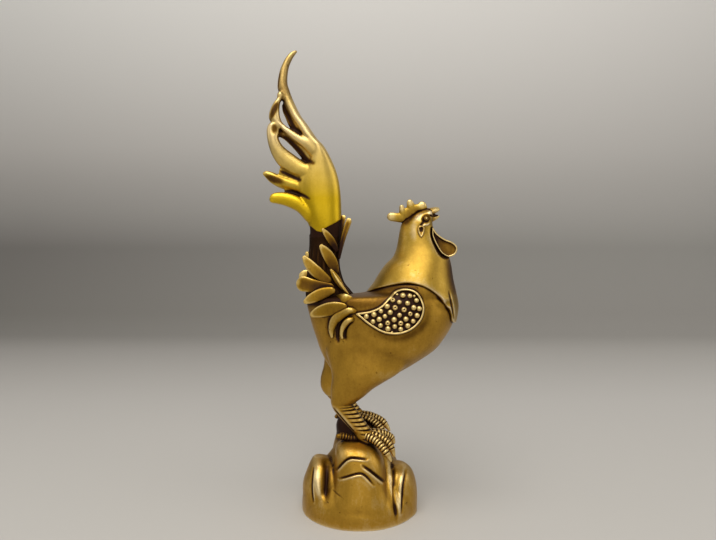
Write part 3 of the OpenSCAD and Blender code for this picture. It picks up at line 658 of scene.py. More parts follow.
@dataclass(frozen=True)
class Pocket:
    """A flat-floored pocket round an outline, as seen from one side.

    Inside the outline nothing stands further out than the floor; at a distance d
    outside it nothing stands further out than floor + slope d, as far as the reach.
    Where it sinks the form by the full depth or more, it is painted as dark as it gets, as the shade
    in the pocket.
    """

    outline: tuple
    floor: float
    slope: float = 3.0
    dark: float = 0.75
    steps: int = 5
    reach: float = 4.0
    full: float = 2.2

    def apply(self, form: Form, side: Side) -> None:
        """Sinks what stands too far out on a side.

        A place is inside where a ray from it crosses the outline an odd number of times.

        Args:
            form: the form, changed in place.
            side: the side that the pocket is on.
        """
        a = smooth(np.array(self.outline), self.steps, True)
        run = np.roll(a, -1, 0) - a
        out, flat = side.value * form.points[:, 1], form.points[:, [0, 2]]
        near = np.flatnonzero((out > 0) & (flat > a.min(0) - self.reach).all(1)
                              & (flat < a.max(0) + self.reach).all(1))
        d = np.linalg.norm(nearest(flat[near], a, run)[1], axis=-1).min(1)
        x, z = flat[near].T[..., None]
        above = a[:, 1] > z
        slant = run[:, 0] / np.where(run[:, 1] == 0, LEAST, run[:, 1])
        crosses = (above != np.roll(above, -1, 1)) & (x < a[:, 0] + (z - a[:, 1]) * slant)
        d[crosses.sum(1) % 2 == 1] *= -1
        sunk = np.maximum(out[near] - (self.floor + self.slope * np.maximum(d, 0)), 0)
        form.points[near, 1] -= side.value * sunk
        form.cut[near] = np.maximum(form.cut[near], self.dark * step(sunk, 0, self.full))


def carve(form: Form, works: Iterable[Stroke | Dent | Pocket],
          sides: Iterable[Side] = Side) -> None:
    """Works each stroke, dent and pocket into each of the sides."""
    for work in works:
        for side in sides:
            work.apply(form, side)


# Finishes


class Wiring:
    """A material's nodes and the links between them."""

    def __init__(self, name: str) -> None:
        """Starts a material with its shader and Object coordinates."""
        self.material = bpy.data.materials.new(name)
        self.material.use_nodes = True
        tree = self.material.node_tree
        self.nodes, self.links = tree.nodes, tree.links
        self.shader = self.nodes["Principled BSDF"]
        self.coord = self.nodes.new("ShaderNodeTexCoord").outputs["Object"]

    def feed(self, socket: Socket, value: object) -> None:
        """Links a socket to another one, or sets its number."""
        if isinstance(value, Socket):
            self.links.new(value, socket)
        else:
            socket.default_value = value

    def math(self, kind: str, *values: object, clamp: bool = False) -> Socket:
        """One Math node over numbers and sockets."""
        node = self.nodes.new("ShaderNodeMath")
        node.operation, node.use_clamp = kind, clamp
        for socket, value in zip(node.inputs, values):
            self.feed(socket, value)
        return node.outputs[0]

    def noise(self, kind: Triple, stretch: Triple = (1, 1, 1)) -> Socket:
        """Noise on stretched Object coordinates, about 0.5 on average.

        Args:
            kind: its scale to a metre, detail and roughness.
            stretch: what the coordinates are multiplied by.

        Returns:
            The noise's socket.
        """
        mapping = self.nodes.new("ShaderNodeMapping")
        mapping.inputs["Scale"].default_value = stretch
        self.links.new(self.coord, mapping.inputs["Vector"])
        node = self.nodes.new("ShaderNodeTexNoise")
        for name, value in zip(("Scale", "Detail", "Roughness"), kind):
            node.inputs[name].default_value = value
        self.links.new(mapping.outputs[0], node.inputs["Vector"])
        return node.outputs["Fac"]

    def attribute(self, name: str) -> Socket:
        """A number that the mesh carries on its points."""
        node = self.nodes.new("ShaderNodeAttribute")
        node.attribute_name = name
        return node.outputs["Fac"]

    def span(self, value: Socket, low: float, high: float, start: float = 0,
             end: float = 1) -> Socket:
        """A number led from the span low to high over to the span start to end."""
        node = self.nodes.new("ShaderNodeMapRange")
        for socket, v in zip(node.inputs, (value, low, high, start, end)):
            self.feed(socket, v)
        return node.outputs[0]

    def ramp(self, value: Socket, stops: tuple) -> Socket:
        """A colour ramp through (place, colour) stops."""
        node = self.nodes.new("ShaderNodeValToRGB")
        elements = node.color_ramp.elements
        for i, (place, colour) in enumerate(stops):
            stop = elements[i] if i < 2 else elements.new(place)
            stop.position = place
            stop.color = (*colour, 1)
        self.links.new(value, node.inputs[0])
        return node.outputs[0]

    def mixed(self, amount: Socket, low: Socket, high: Socket) -> Socket:
        """Two colours mixed, low where amount is 0 and high where it is 1."""
        node = self.nodes.new("ShaderNodeMix")
        node.data_type = "RGBA"
        for name, socket in (("Factor", amount), ("A", low), ("B", high)):
            self.links.new(socket, node.inputs[name])
        return node.outputs["Result"]


@dataclass(frozen=True)
class Brass:
    """Cast brass under an antique patina, rubbed back where hands and cloths reach.

    The tone of a place runs from 0, patina and painted shade in a recess, to 1, polished on an edge
    or painted as a highlight. A finish may pass by height, between two levels in metres, to a paler
    brass above.
    Each noise is given by its scale to a metre, its detail and its roughness.
    """

    name: str
    patina: Colour = (0.03, 0.01, 0.004)
    brown: Colour = (0.16, 0.075, 0.006)
    brass: Colour = (0.45, 0.25, 0.028)
    polish: Colour = (0.77, 0.58, 0.24)
    above: tuple[Colour, Colour] | None = None
    levels: Pair = (0.0, 1.0)
    tone: float = 0.55
    mottle: float = 0.16
    recess: float = 1.0
    rubbed: float = 0.45
    pitted: float = 0.22
    rough: Pair = (0.6, 0.38)
    wax: float = 0.12
    wax_rough: float = 0.3
    gloss: float = 0.2
    grain: float = 0.00003
    brush: Triple = (1.6, 1.6, 0.35)
    streaks: float = 0.16
    blotch_noise: Triple = (75, 4, 0.55)
    speck_noise: Triple = (900, 3, 0.6)
    fine_noise: Triple = (2600, 2, 0.6)
    pit_noise: Triple = (420, 2, 0.5)
    streak_noise: Triple = (260, 3, 0.6)

    def stops(self, brass: Colour, polish: Colour) -> tuple:
        """The ramp from patina through brown to brass and polish."""
        return ((0.02, self.patina), (0.3, self.brown), (0.6, brass), (1.0, polish))

    def material(self) -> bpy.types.Material:
        """The finish as a material on the piece's recess and rubbed attributes.

        The tone is a mean, plus soft blotches, specks and streaks, less small casting pits, plus
        wear and painted highlights, less patina and painted shade in the recess.

        Returns:
            The material.
        """
        w = Wiring(self.name)
        blotch, speck = w.noise(self.blotch_noise), w.noise(self.speck_noise)
        fine, pits = w.noise(self.fine_noise, self.brush), w.noise(self.pit_noise)
        streak = w.noise(self.streak_noise, self.brush)
        tone = w.math("MULTIPLY_ADD", blotch, 2 * self.mottle, self.tone - self.mottle)
        for noise, amount in ((speck, self.mottle), (streak, self.streaks)):
            tone = w.math("MULTIPLY_ADD", w.math("SUBTRACT", noise, 0.5), amount, tone)
        tone = w.math("SUBTRACT", tone, w.span(pits, 0.7, 0.76, 0, self.pitted))
        tone = w.math("MULTIPLY_ADD", w.attribute("rubbed"), self.rubbed, tone)
        tone = w.math("MULTIPLY_ADD", w.attribute("recess"), -self.recess, tone, clamp=True)
        colour = w.ramp(tone, self.stops(self.brass, self.polish))
        if self.above:
            split = w.nodes.new("ShaderNodeSeparateXYZ")
            w.links.new(w.coord, split.inputs[0])
            height = w.span(split.outputs["Z"], *self.levels)
            colour = w.mixed(height, colour, w.ramp(tone, self.stops(*self.above)))
        bump = w.nodes.new("ShaderNodeBump")
        bump.inputs["Distance"].default_value = self.grain
        w.feed(bump.inputs["Height"], w.math("MULTIPLY_ADD", speck, 0.8, fine))
        for name, value in (("Base Color", colour), ("Normal", bump.outputs[0]),
                            ("Roughness", w.span(tone, 0, 0.7, *self.rough)),
                            ("Metallic", w.span(tone, 0, 0.3, 0.9, 1)),
                            ("Coat Weight", self.wax), ("Coat Roughness", self.wax_rough),
                            ("Specular IOR Level", self.gloss)):
            w.feed(w.shader.inputs[name], value)
        return w.material


CAST = Brass("cast_brass", tone=0.5)
ROCK = Brass("rock_brass", polish=(0.8, 0.62, 0.31), tone=0.54)
NECK = Brass("neck_brass", brass=(0.42, 0.26, 0.035), polish=(0.72, 0.57, 0.33), tone=0.53)
TRIM = Brass("trim_brass", tone=0.66)
COMB = Brass("comb_brass", brass=(0.42, 0.26, 0.03), tone=0.6, rubbed=0.36)
PLUME = Brass("plume_brass", brass=(0.5, 0.32, 0.003), polish=(0.8, 0.54, 0.02), tone=0.62,
              above=((0.58, 0.41, 0.14), (0.88, 0.68, 0.35)), levels=(0.162, 0.197))
LEAF = Brass("leaf_brass", brass=(0.36, 0.2, 0.016), polish=(0.78, 0.56, 0.18), tone=0.52)
DARK = Brass("dark_brass", patina=(0.022, 0.009, 0.003), brown=(0.075, 0.033, 0.007), tone=0.14,
             mottle=0.1, wax=0.0)


@dataclass
class Piece:
    """One visible piece: its form, its finish and the CAD nodes that it stands for.

    A masked piece, too small for the cells of the patina and shade grid, takes only the masks it
    brings.
    """

    name: str
    form: Form
    finish: Brass
    slot: str
    nodes: tuple[str, ...]
    masked: bool = False


def paired(side: Side, name: str, form: Form, finish: Brass, slot: str, node: str,
           masked: bool = False) -> Piece:
    """A piece made on the right, put on a side, with the side's word before its names."""
    return Piece(f"{side.word}_{name}", form.on(side), finish, slot, (f"{side.word}_{node}",),
                 masked)


# The castings


@dataclass(frozen=True)
class Plan:
    """The driving sizes of the whole rooster, in millimetres, and its main places."""

    base_d: float = 60.0
    rock_h: float = 38.0
    leg_h: float = 15.0
    foot_l: float = 20.0
    stance_w: float = 22.0
    toe_d: float = 4.6
    body_l: float = 80.0
    body_h: float = 60.0
    body_w: float = 42.0
    neck_l: float = 50.0
    cape_w: float = 43.5
    head_l: float = 20.0
    wing_l: float = 34.0
    stem_h: float = 28.0
    stem_d: float = 17.0
    plume_h: float = 100.0
    plume_t: float = 13.0

    @property
    def hock_z(self) -> float:
        """Height of the hocks."""
        return self.rock_h + self.leg_h

    @property
    def saddle_z(self) -> float:
        """Height of the saddle, where the neck and the tail start."""
        return self.hock_z + self.body_h

    @property
    def rump_x(self) -> float:
        """The back of the body."""
        return -0.35 * self.body_l

    @property
    def stem_x(self) -> float:
        """The middle of the tail stem."""
        return self.rump_x + 0.125 * self.body_l

    @property
    def plume_z(self) -> float:
        """The foot of the plume."""
        return self.saddle_z + self.stem_h

    @property
    def head(self) -> Array:
        """The middle of the head, as x and z."""
        return np.array([0.6 * self.neck_l, self.saddle_z + 0.74 * self.neck_l])

    @property
    def wing(self) -> Array:
        """The tail point of a wing, as x and z."""
        return np.array([self.rump_x + 0.331 * self.body_l, self.hock_z + 0.833 * self.body_h])

    def on_head(self, place: Pair) -> Array:
        """A place on the head, as x and z, from its shares of the neck's length."""
        return np.array([place[0] * self.neck_l, self.saddle_z + place[1] * self.neck_l])


PLAN = Plan()


@dataclass
class Rock:
    """The hollow rock: lobes melted together, with cracks cut into its front."""

    sides: int = 96
    steps: int = 6
    grain: float = 0.42
    rounds: int = 200
    crisp_z: Pair = (13, 22)
    wall: float = 4.5
    hollow_h: float = 25.0
    square: float = 2.4
    shade: float = .75
    round_lobes: tuple = (
        ((0, 0, 0, .5, .5), (.16, 0, 0, .498, .498), (.3, 0, 0, .47, .47),
         (.45, 0, 0, .415, .415), (.6, 0, 0, .33, .345), (.8, .005, 0, .235, .255),
         (.95, 0, 0, .165, .17)),
        ((0, -.24, -.1, .24, .25), (.21, -.243, -.1, .243, .25), (.39, -.25, -.1, .236, .24),
         (.53, -.262, -.1, .198, .215), (.65, -.295, -.1, .135, .16),
         (.71, -.33, -.1, .08, .1), (.745, -.355, -.1, .035, .045)),
        ((0, .25, -.083, .245, .25), (.24, .252, -.083, .247, .25),
         (.41, .26, -.083, .226, .23), (.54, .28, -.083, .178, .19),
         (.61, .305, -.083, .11, .125), (.64, .33, -.083, .045, .05)),
        ((0, -.217, .2, .2, .2), (.32, -.217, .2, .192, .192), (.46, -.217, .183, .158, .158),
         (.55, -.21, .167, .083, .083), (.58, -.2, .167, .033, .033)),
    )
    block_lobes: tuple = (
        ((0, .005, -.24, .32, .258), (.26, .005, -.24, .285, .248), (.5, .005, -.225, .228, .236),
         (.74, -.003, -.215, .207, .215), (.87, -.02, -.21, .185, .19),
         (.95, -.04, -.2, .15, .15), (1, -.055, -.19, .08, .08)),
        ((0, -.017, .167, .25, .3), (.39, -.017, .15, .242, .275), (.74, -.033, .133, .207, .217),
         (.95, -.02, .125, .188, .183), (1.08, -.045, .117, .163, .142),
         (1.18, -.08, .108, .105, .1), (1.21, -.1, .1, .045, .05)),
        ((0, .2, .167, .233, .2), (.5, .19, .15, .16, .183), (.68, .17, .15, .135, .165),
         (.8, .16, .15, .12, .14), (.92, .15, .15, .08, .1), (.98, .14, .15, .04, .042)),
    )
    front: tuple[Stroke, ...] = (
        Stroke(((-11.5, 26), (-10, 28), (-7.3, 31.2), (-4.8, 32.8), (-2.2, 33), (3.6, 32.4)),
               .42, .9, .5, -1),
        Stroke(((1.8, 29.6), (6.3, 26.3), (12.6, 20.3)), .5, 1.1, .5, -1),
        Stroke(((-10, 22.8), (-4.6, 25.1), (.1, 26.2), (3.1, 24.9), (6.8, 20.8)),
               .42, .85, .35, -1),
        Stroke(((-13.4, 16.6), (-11, 15.8), (-9, 15.1)), .3, .25, dark=.4),
        # Raises the left hump's ridge and paints a highlight along it.
        Stroke(((-21.8, 25), (-21, 18), (-18.6, 11.2)), 1.6, -.9, dark=0, painted_highlight=.9),
        Stroke(((-23.4, 24.2), (-23.7, 16), (-23, 9.4)), .42, .9, .3, 1),
        Stroke(((23.4, 22.1), (21.8, 17.5), (21, 11), (20.6, 5.6)), .6, 1.0, .5, -1),
        # Raises the right lobe's ridge and paints a highlight along it.
        Stroke(((22, 22), (20.4, 17), (19.6, 10), (19.4, 5)), .8, -.4, dark=0, painted_highlight=.7),
        # These two strokes cut the left groove and paint it dark, patina and shade down its length.
        Stroke(((-16.4, 30), (-16.7, 20), (-16.9, 11.4)), 2.0, 1.5, dark=.55, fade=.5),
        Stroke(((-16.1, 25), (-16.5, 18), (-16.9, 11.2)), .6, .5, dark=.65, fade=.7),
        Stroke(((17.2, 30), (16.9, 16), (18.1, 3.8)), .9, .9, dark=.45),
        Stroke(((17.2, 10.5), (17.6, 7.5), (17.9, 4.6)), .6, .4, dark=.8),
        Stroke(((12.6, 29), (13, 20), (15.2, 11.7), (17.4, 5.7)), 1.2, .35, .5, 1, dark=.1),
    )
    back: tuple[Stroke, ...] = (
        Stroke(((-8, 33), (-2, 36), (6, 33)), .6, .9, .4, -1),
        Stroke(((-22, 20), (-22.5, 13), (-22, 6)), .5, .9, .4, 1),
        Stroke(((6, 28), (10, 22), (17, 20)), .6, 1.0, .4, -1),
        Stroke(((-2, 26), (0, 16), (-1, 6)), .8, .9, dark=.8),
    )

    def lobe(self, shares: tuple, power: float = 2) -> Form:
        """One lobe of the rock.

        Args:
            shares: rows of height, middle x and y, and half sizes along x and y.
            power: how square its rings are.

        Returns:
            The closed lobe.
        """
        z, x, y, half_x, half_y = np.array(shares).T
        rows = rungs(np.stack([x - half_x, z, x + half_x, z, y, half_y], 1), (0, 0),
                     (PLAN.base_d, PLAN.rock_h, PLAN.base_d))
        return skin(ladder(rows, self.sides, self.steps, power=power))

    def hollow(self) -> Form:
        """The room inside, a profile turned about the upright axis."""
        inner = PLAN.base_d / 2 - self.wall
        profile = smooth(np.array([[inner, -self.wall], [inner, 0],
                                   [.9 * inner, .35 * self.hollow_h],
                                   [.5 * inner, .9 * self.hollow_h],
                                   [.2 * inner, self.hollow_h]]), 8)
        out, up = profile[:, None, :1], profile[:, None, 1:]
        return skin(np.concatenate([out * circle(self.sides),
                                    np.broadcast_to(up, (len(profile), self.sides, 1))], -1))

    def pieces(self) -> list[Piece]:
        """The rock as one piece, crisper towards its top and dark where the legs shade it."""
        lobes = [self.lobe(s) for s in self.round_lobes]
        lobes += [self.lobe(s, self.square) for s in self.block_lobes]
        form = melted(lobes, self.grain)
        low, high = self.crisp_z
        relaxed(form, self.rounds, .08 + .92 * step(-form.points[:, 2], -high, -low))
        form.points[:, 2] = np.maximum(form.points[:, 2], 0)
        form = less(form, self.hollow())
        carve(form, self.front, [Side.RIGHT])
        carve(form, self.back, [Side.LEFT])
        form.points[:, 2] = np.maximum(form.points[:, 2], 0)
        x, y, z = form.points.T
        shade = self.shade * step(z, 32.5, 37) * step(y, -9, -4) * (1 - step(x, 3, 8))
        form.cut = np.maximum(form.cut, shade)
        return [Piece("rock", form, ROCK, "rock_base", ("rock_base",))]


@dataclass
class Leg:
    """A scaled shank with ringed toes and smooth claws."""

    side: Side
    scutes: int = 10
    crowd: float = 1.35
    groove: float = .42
    swell: float = .12
    pitch: float = 1.5
    bare: float = .78
    taper: Row = (.98, .9, .8, .7)
    ringed: float = .07
    claw: float = .66
    point: float = .24
    hind_shade: float = .35
    sides: int = 56
    toe_sides: int = 24
    shanks: tuple = (
        ((-.05, -.1, .42, 0, 0, .23), (-.1, .07, .4, .17, 0, .22), (-.16, .25, .335, .28, .01, .205),
         (-.27, .41, .23, .45, .02, .2), (-.4, .6, .125, .64, .03, .2),
         (-.54, .8, .02, .85, .045, .21), (-.66, 1, -.11, 1.07, .06, .225),
         (-.725, 1.2, -.16, 1.2, .07, .235), (-.74, 1.4, -.1, 1.4, .08, .23)),
        ((-.28, .3, .175, .37, 0, .22), (-.325, .47, .13, .53, 0, .21),
         (-.45, .63, .01, .73, -.01, .205), (-.6, .8, -.11, .93, -.02, .21),
         (-.75, .97, -.225, 1.08, -.03, .225), (-.9, 1.2, -.3, 1.2, -.03, .235),
         (-.92, 1.4, -.3, 1.4, -.03, .23)),
    )
    toes: tuple = (
        (((.15, -.1, .125), (.4, -.25, .05), (.62, -.37, -.15), (.79, -.42, -.42)),
         ((.2, 0, .15), (.52, -.05, .075), (.77, -.07, -.12), (.89, -.08, -.42)),
         ((.2, .12, .14), (.55, .25, .1), (.8, .35, -.02), (.92, .38, -.22)),
         ((.05, 0, .05), (-.22, -.03, .04), (-.42, -.06, .1), (-.6, -.07, .12))),
        (((0, -.12, .33), (.33, -.28, .25), (.58, -.4, .03), (.72, -.44, -.25)),
         ((.02, 0, .36), (.32, .03, .33), (.62, .05, .2), (.84, .06, -.08)),
         ((0, .12, .34), (.3, .28, .28), (.55, .4, .12), (.7, .44, -.12)),
         ((-.12, 0, .32), (-.36, -.03, .32), (-.55, -.05, .31), (-.68, -.06, .27))),
    )
    tendon: Stroke = Stroke(((-13, 54.2), (-8, 48.4), (-3.4, 43.2)), .5, .7, .3, 1, dark=.9)

    @property
    def which(self) -> int:
        """The row of the tables for this side."""
        return 0 if self.side is Side.RIGHT else 1

    def across(self, lengths: Array) -> Array:
        """Y of places that lie so far in from the middle of this side's stance."""
        return self.side.value * (PLAN.stance_w / 2 - lengths)

    def shank(self) -> Form:
        """The shank, its front crossed by grooves that crowd towards the foot.

        Along the length v the groove is exp(-((fraction of n v^1.35 - 1/2) / 0.15)^2).

        Returns:
            The closed shank, down to the ankle.
        """
        p = PLAN
        rows = rungs(self.shanks[self.which], (0, p.rock_h), (p.foot_l, p.leg_h, p.foot_l))
        rows[:, 4] = self.across(rows[:, 4])
        grid = ladder(rows, self.sides, 22)
        v = np.linspace(0, 1, len(grid))[:, None]
        c = circle(self.sides)[:, 0]
        front = step(c, -.45, .1) * step(.86 - v, 0, .08)
        phase = (v ** self.crowd * self.scutes * 1.12 + .1 * c) % 1 - .5
        groove = np.exp(-(phase / .15) ** 2) * front
        form = skin(grid)
        form.cut = spread(groove, self.sides)
        form.push(spread(front * self.swell * (1 - groove), self.sides) - self.groove * form.cut)
        return form

    def toe(self, shares: tuple) -> Form:
        """A toe: rings swell it by 7 in 100 as far as the claw, which is bare.

        The radius is r (1 + 0.07 cos(2 pi n s)) for s up to the claw's root, where n
        rings of the pitch fit the length. The claw starts at 0.66 of the toe's
        thickness and tapers with the root of what is left.

        Args:
            shares: knots of x, inward y and z as shares of the foot's length.

        Returns:
            The closed toe, a hind toe painted darker as shade and less worn bright than the others.
        """
        p = PLAN
        k = np.array(shares) * p.foot_l
        path = smooth(np.stack([k[:, 0], self.across(k[:, 1]), p.rock_h + k[:, 2]], 1), 40)
        s = np.linspace(0, 1, len(path))
        claw = step(s, self.bare - .02, self.bare + .02)
        body = smooth(np.array(self.taper), 40)[:, 0]
        rings = round(self.bare * run_along(path)[-1] / self.pitch)
        wave = np.cos(2 * math.pi * rings * s / self.bare)
        radius = p.toe_d / 2 * (body * (1 + self.ringed * wave * (1 - claw)) * (1 - claw)
                                + claw * self.claw
                                * np.sqrt(np.clip((1.0 - s) / self.point, .012, 1)))
        form = skin(sweep(path, radius, radius, np.array([0, 0, 1]), circle(self.toe_sides)))
        hind = self.hind_shade * (k[-1, 0] < k[0, 0])
        form.cut = spread(hind + step(-wave, .1, .9) * (1 - claw) * .75, self.toe_sides)
        form.rubbed = spread((1 - 2 * hind) * step(wave, .2, 1) * (1 - claw), self.toe_sides)
        return form

    def pieces(self) -> list[Piece]:
        """The leg and its foot."""
        shank = self.shank()
        if self.side is Side.RIGHT:
            self.tendon.apply(shank, Side.RIGHT)
        form = joined([shank] + [self.toe(t) for t in self.toes[self.which]])
        word = self.side.word
        return [Piece(f"{word}_leg_and_foot", form, CAST, f"{word}_leg", (f"{word}_leg",))]


@dataclass
class Trunk:
    """The body with its thighs, one smooth casting."""

    bulge: float = 0.2
    grain: float = 0.7
    rounds: int = 80
    rows: tuple = (
        (.2, .24, .47, .14), (.3, .175, .62, .25), (.4, .125, .745, .35), (.5, .09, .85, .43),
        (.6, .065, .91, .475), (.7, .04, .955, .495), (.8, .02, .98, .495), (.9, .005, .98, .475),
        (.95, .03, .965, .45), (.975, .2, .955, .435), (1, .39, .945, .42), (1.07, .45, .9, .39),
        (1.12, .52, .82, .22),
    )
    thighs: tuple = (
        ((.169, .05, .31, .05, .228, .112), (.1675, .108, .3775, .113, .23, .143),
         (.1665, .175, .4375, .18, .23, .171), (.1725, .242, .5125, .242, .228, .2),
         (.1725, .308, .594, .308, .222, .224), (.155, .4, .67, .4, .19, .25),
         (.13, .5, .75, .51, .12, .315), (.12, .6, .82, .62, .05, .4),
         (.15, .7, .8, .74, 0, .42)),
        ((.125, .05, .275, .05, .245, .112), (.095, .1, .3125, .108, .25, .143),
         (.084, .158, .375, .175, .25, .167), (.089, .233, .45, .25, .248, .19),
         (.106, .317, .54, .333, .235, .214), (.115, .42, .64, .43, .2, .24),
         (.12, .52, .74, .53, .12, .315), (.12, .62, .82, .63, .05, .4),
         (.15, .72, .8, .75, 0, .42)),
    )
    # The first four strokes cut hollows under and behind the feathers, painted dark as their shade;
    # the dent raises a swelling; the last stroke paints a soft shade round the wing's front and
    # lower edge.
    carving: tuple = (
        Stroke(((-6.3, 101.6), (-9.3, 99.2), (-11, 95.6), (-11.3, 91.6), (-10.9, 88.6)), .8, 1.5,
               fade=.35),
        Stroke(((-4.2, 98.8), (-5.9, 97.4), (-7.1, 95), (-7.4, 91.8), (-6.7, 89.6)), .7, .8,
               dark=.8),
        Stroke(((-15.4, 100.6), (-15.6, 96), (-15.2, 91)), .9, .8, dark=.7),
        Stroke(((-14.2, 107.6), (-9.2, 105.9), (-4.2, 104.9)), .6, .6, dark=.9),
        Dent((41.5, 110), (3.4, 4.6), 35, -.9),
        Stroke(((33.2, 109), (34.1, 104.7), (33.2, 99.7), (29.9, 95.2), (25, 92), (18.9, 90.6),
                (12.7, 91.4), (6.4, 94.3)), 1.9, .25, dark=.2, fade=.3),
    )

    def measured(self, shares: tuple) -> Array:
        """A ladder's rows in millimetres, from shares of the body."""
        p = PLAN
        return rungs(shares, (p.rump_x, p.hock_z), (p.body_l, p.body_h, p.body_w))

    def table(self) -> Array:
        """The trunk's rows in millimetres, each at one height from back to front."""
        return self.measured(np.array(self.rows)[:, [1, 0, 2, 0, 3]])

    def side_at(self, x: Array, z: Array) -> Array:
        """How far the trunk's side is from the middle plane at x and z.

        At the height z the ring runs from a to b with half width w, so with
        c = (2x - a - b) / (b - a) the side is w sqrt(1 - c^2) (1 + bulge c).

        Args:
            x: places along the trunk.
            z: their heights.

        Returns:
            A distance for each place.
        """
        r = smooth(self.table(), 24)
        a, b, w = (np.interp(z, r[:, 1], r[:, k]) for k in (0, 2, 5))
        c = (2 * x - a - b) / (b - a)
        return w * np.sqrt(np.clip(1 - c * c, 0, 1)) * (1 + self.bulge * c)

    def pieces(self) -> list[Piece]:
        """The trunk and thighs, with shade painted under the saddle and behind the tail's root."""
        lumps = [skin(ladder(self.table(), 128, 8, self.bulge))]
        for shares, side in zip(self.thighs, Side):
            rows = self.measured(shares)
            rows[:, 4] *= side.value
            lumps.append(skin(ladder(rows, 72, 8)))
        form = relaxed(melted(lumps, self.grain), self.rounds)
        carve(form, self.carving)
        x, _, z = form.points.T
        # Painted shade behind the tail's root under the leaves, and a lighter one along the upper
        # sides below the saddle.
        rump_shade = .8 * step(-x, 7, 10) * step(z, 104.5, 108)
        top = .24 * (1 - step(x, 26, 34)) * step(z, 102, 108)
        form.cut = np.maximum(form.cut, np.maximum(rump_shade, top))
        return [Piece("trunk_and_thighs", form, CAST, "body", ("body",))]


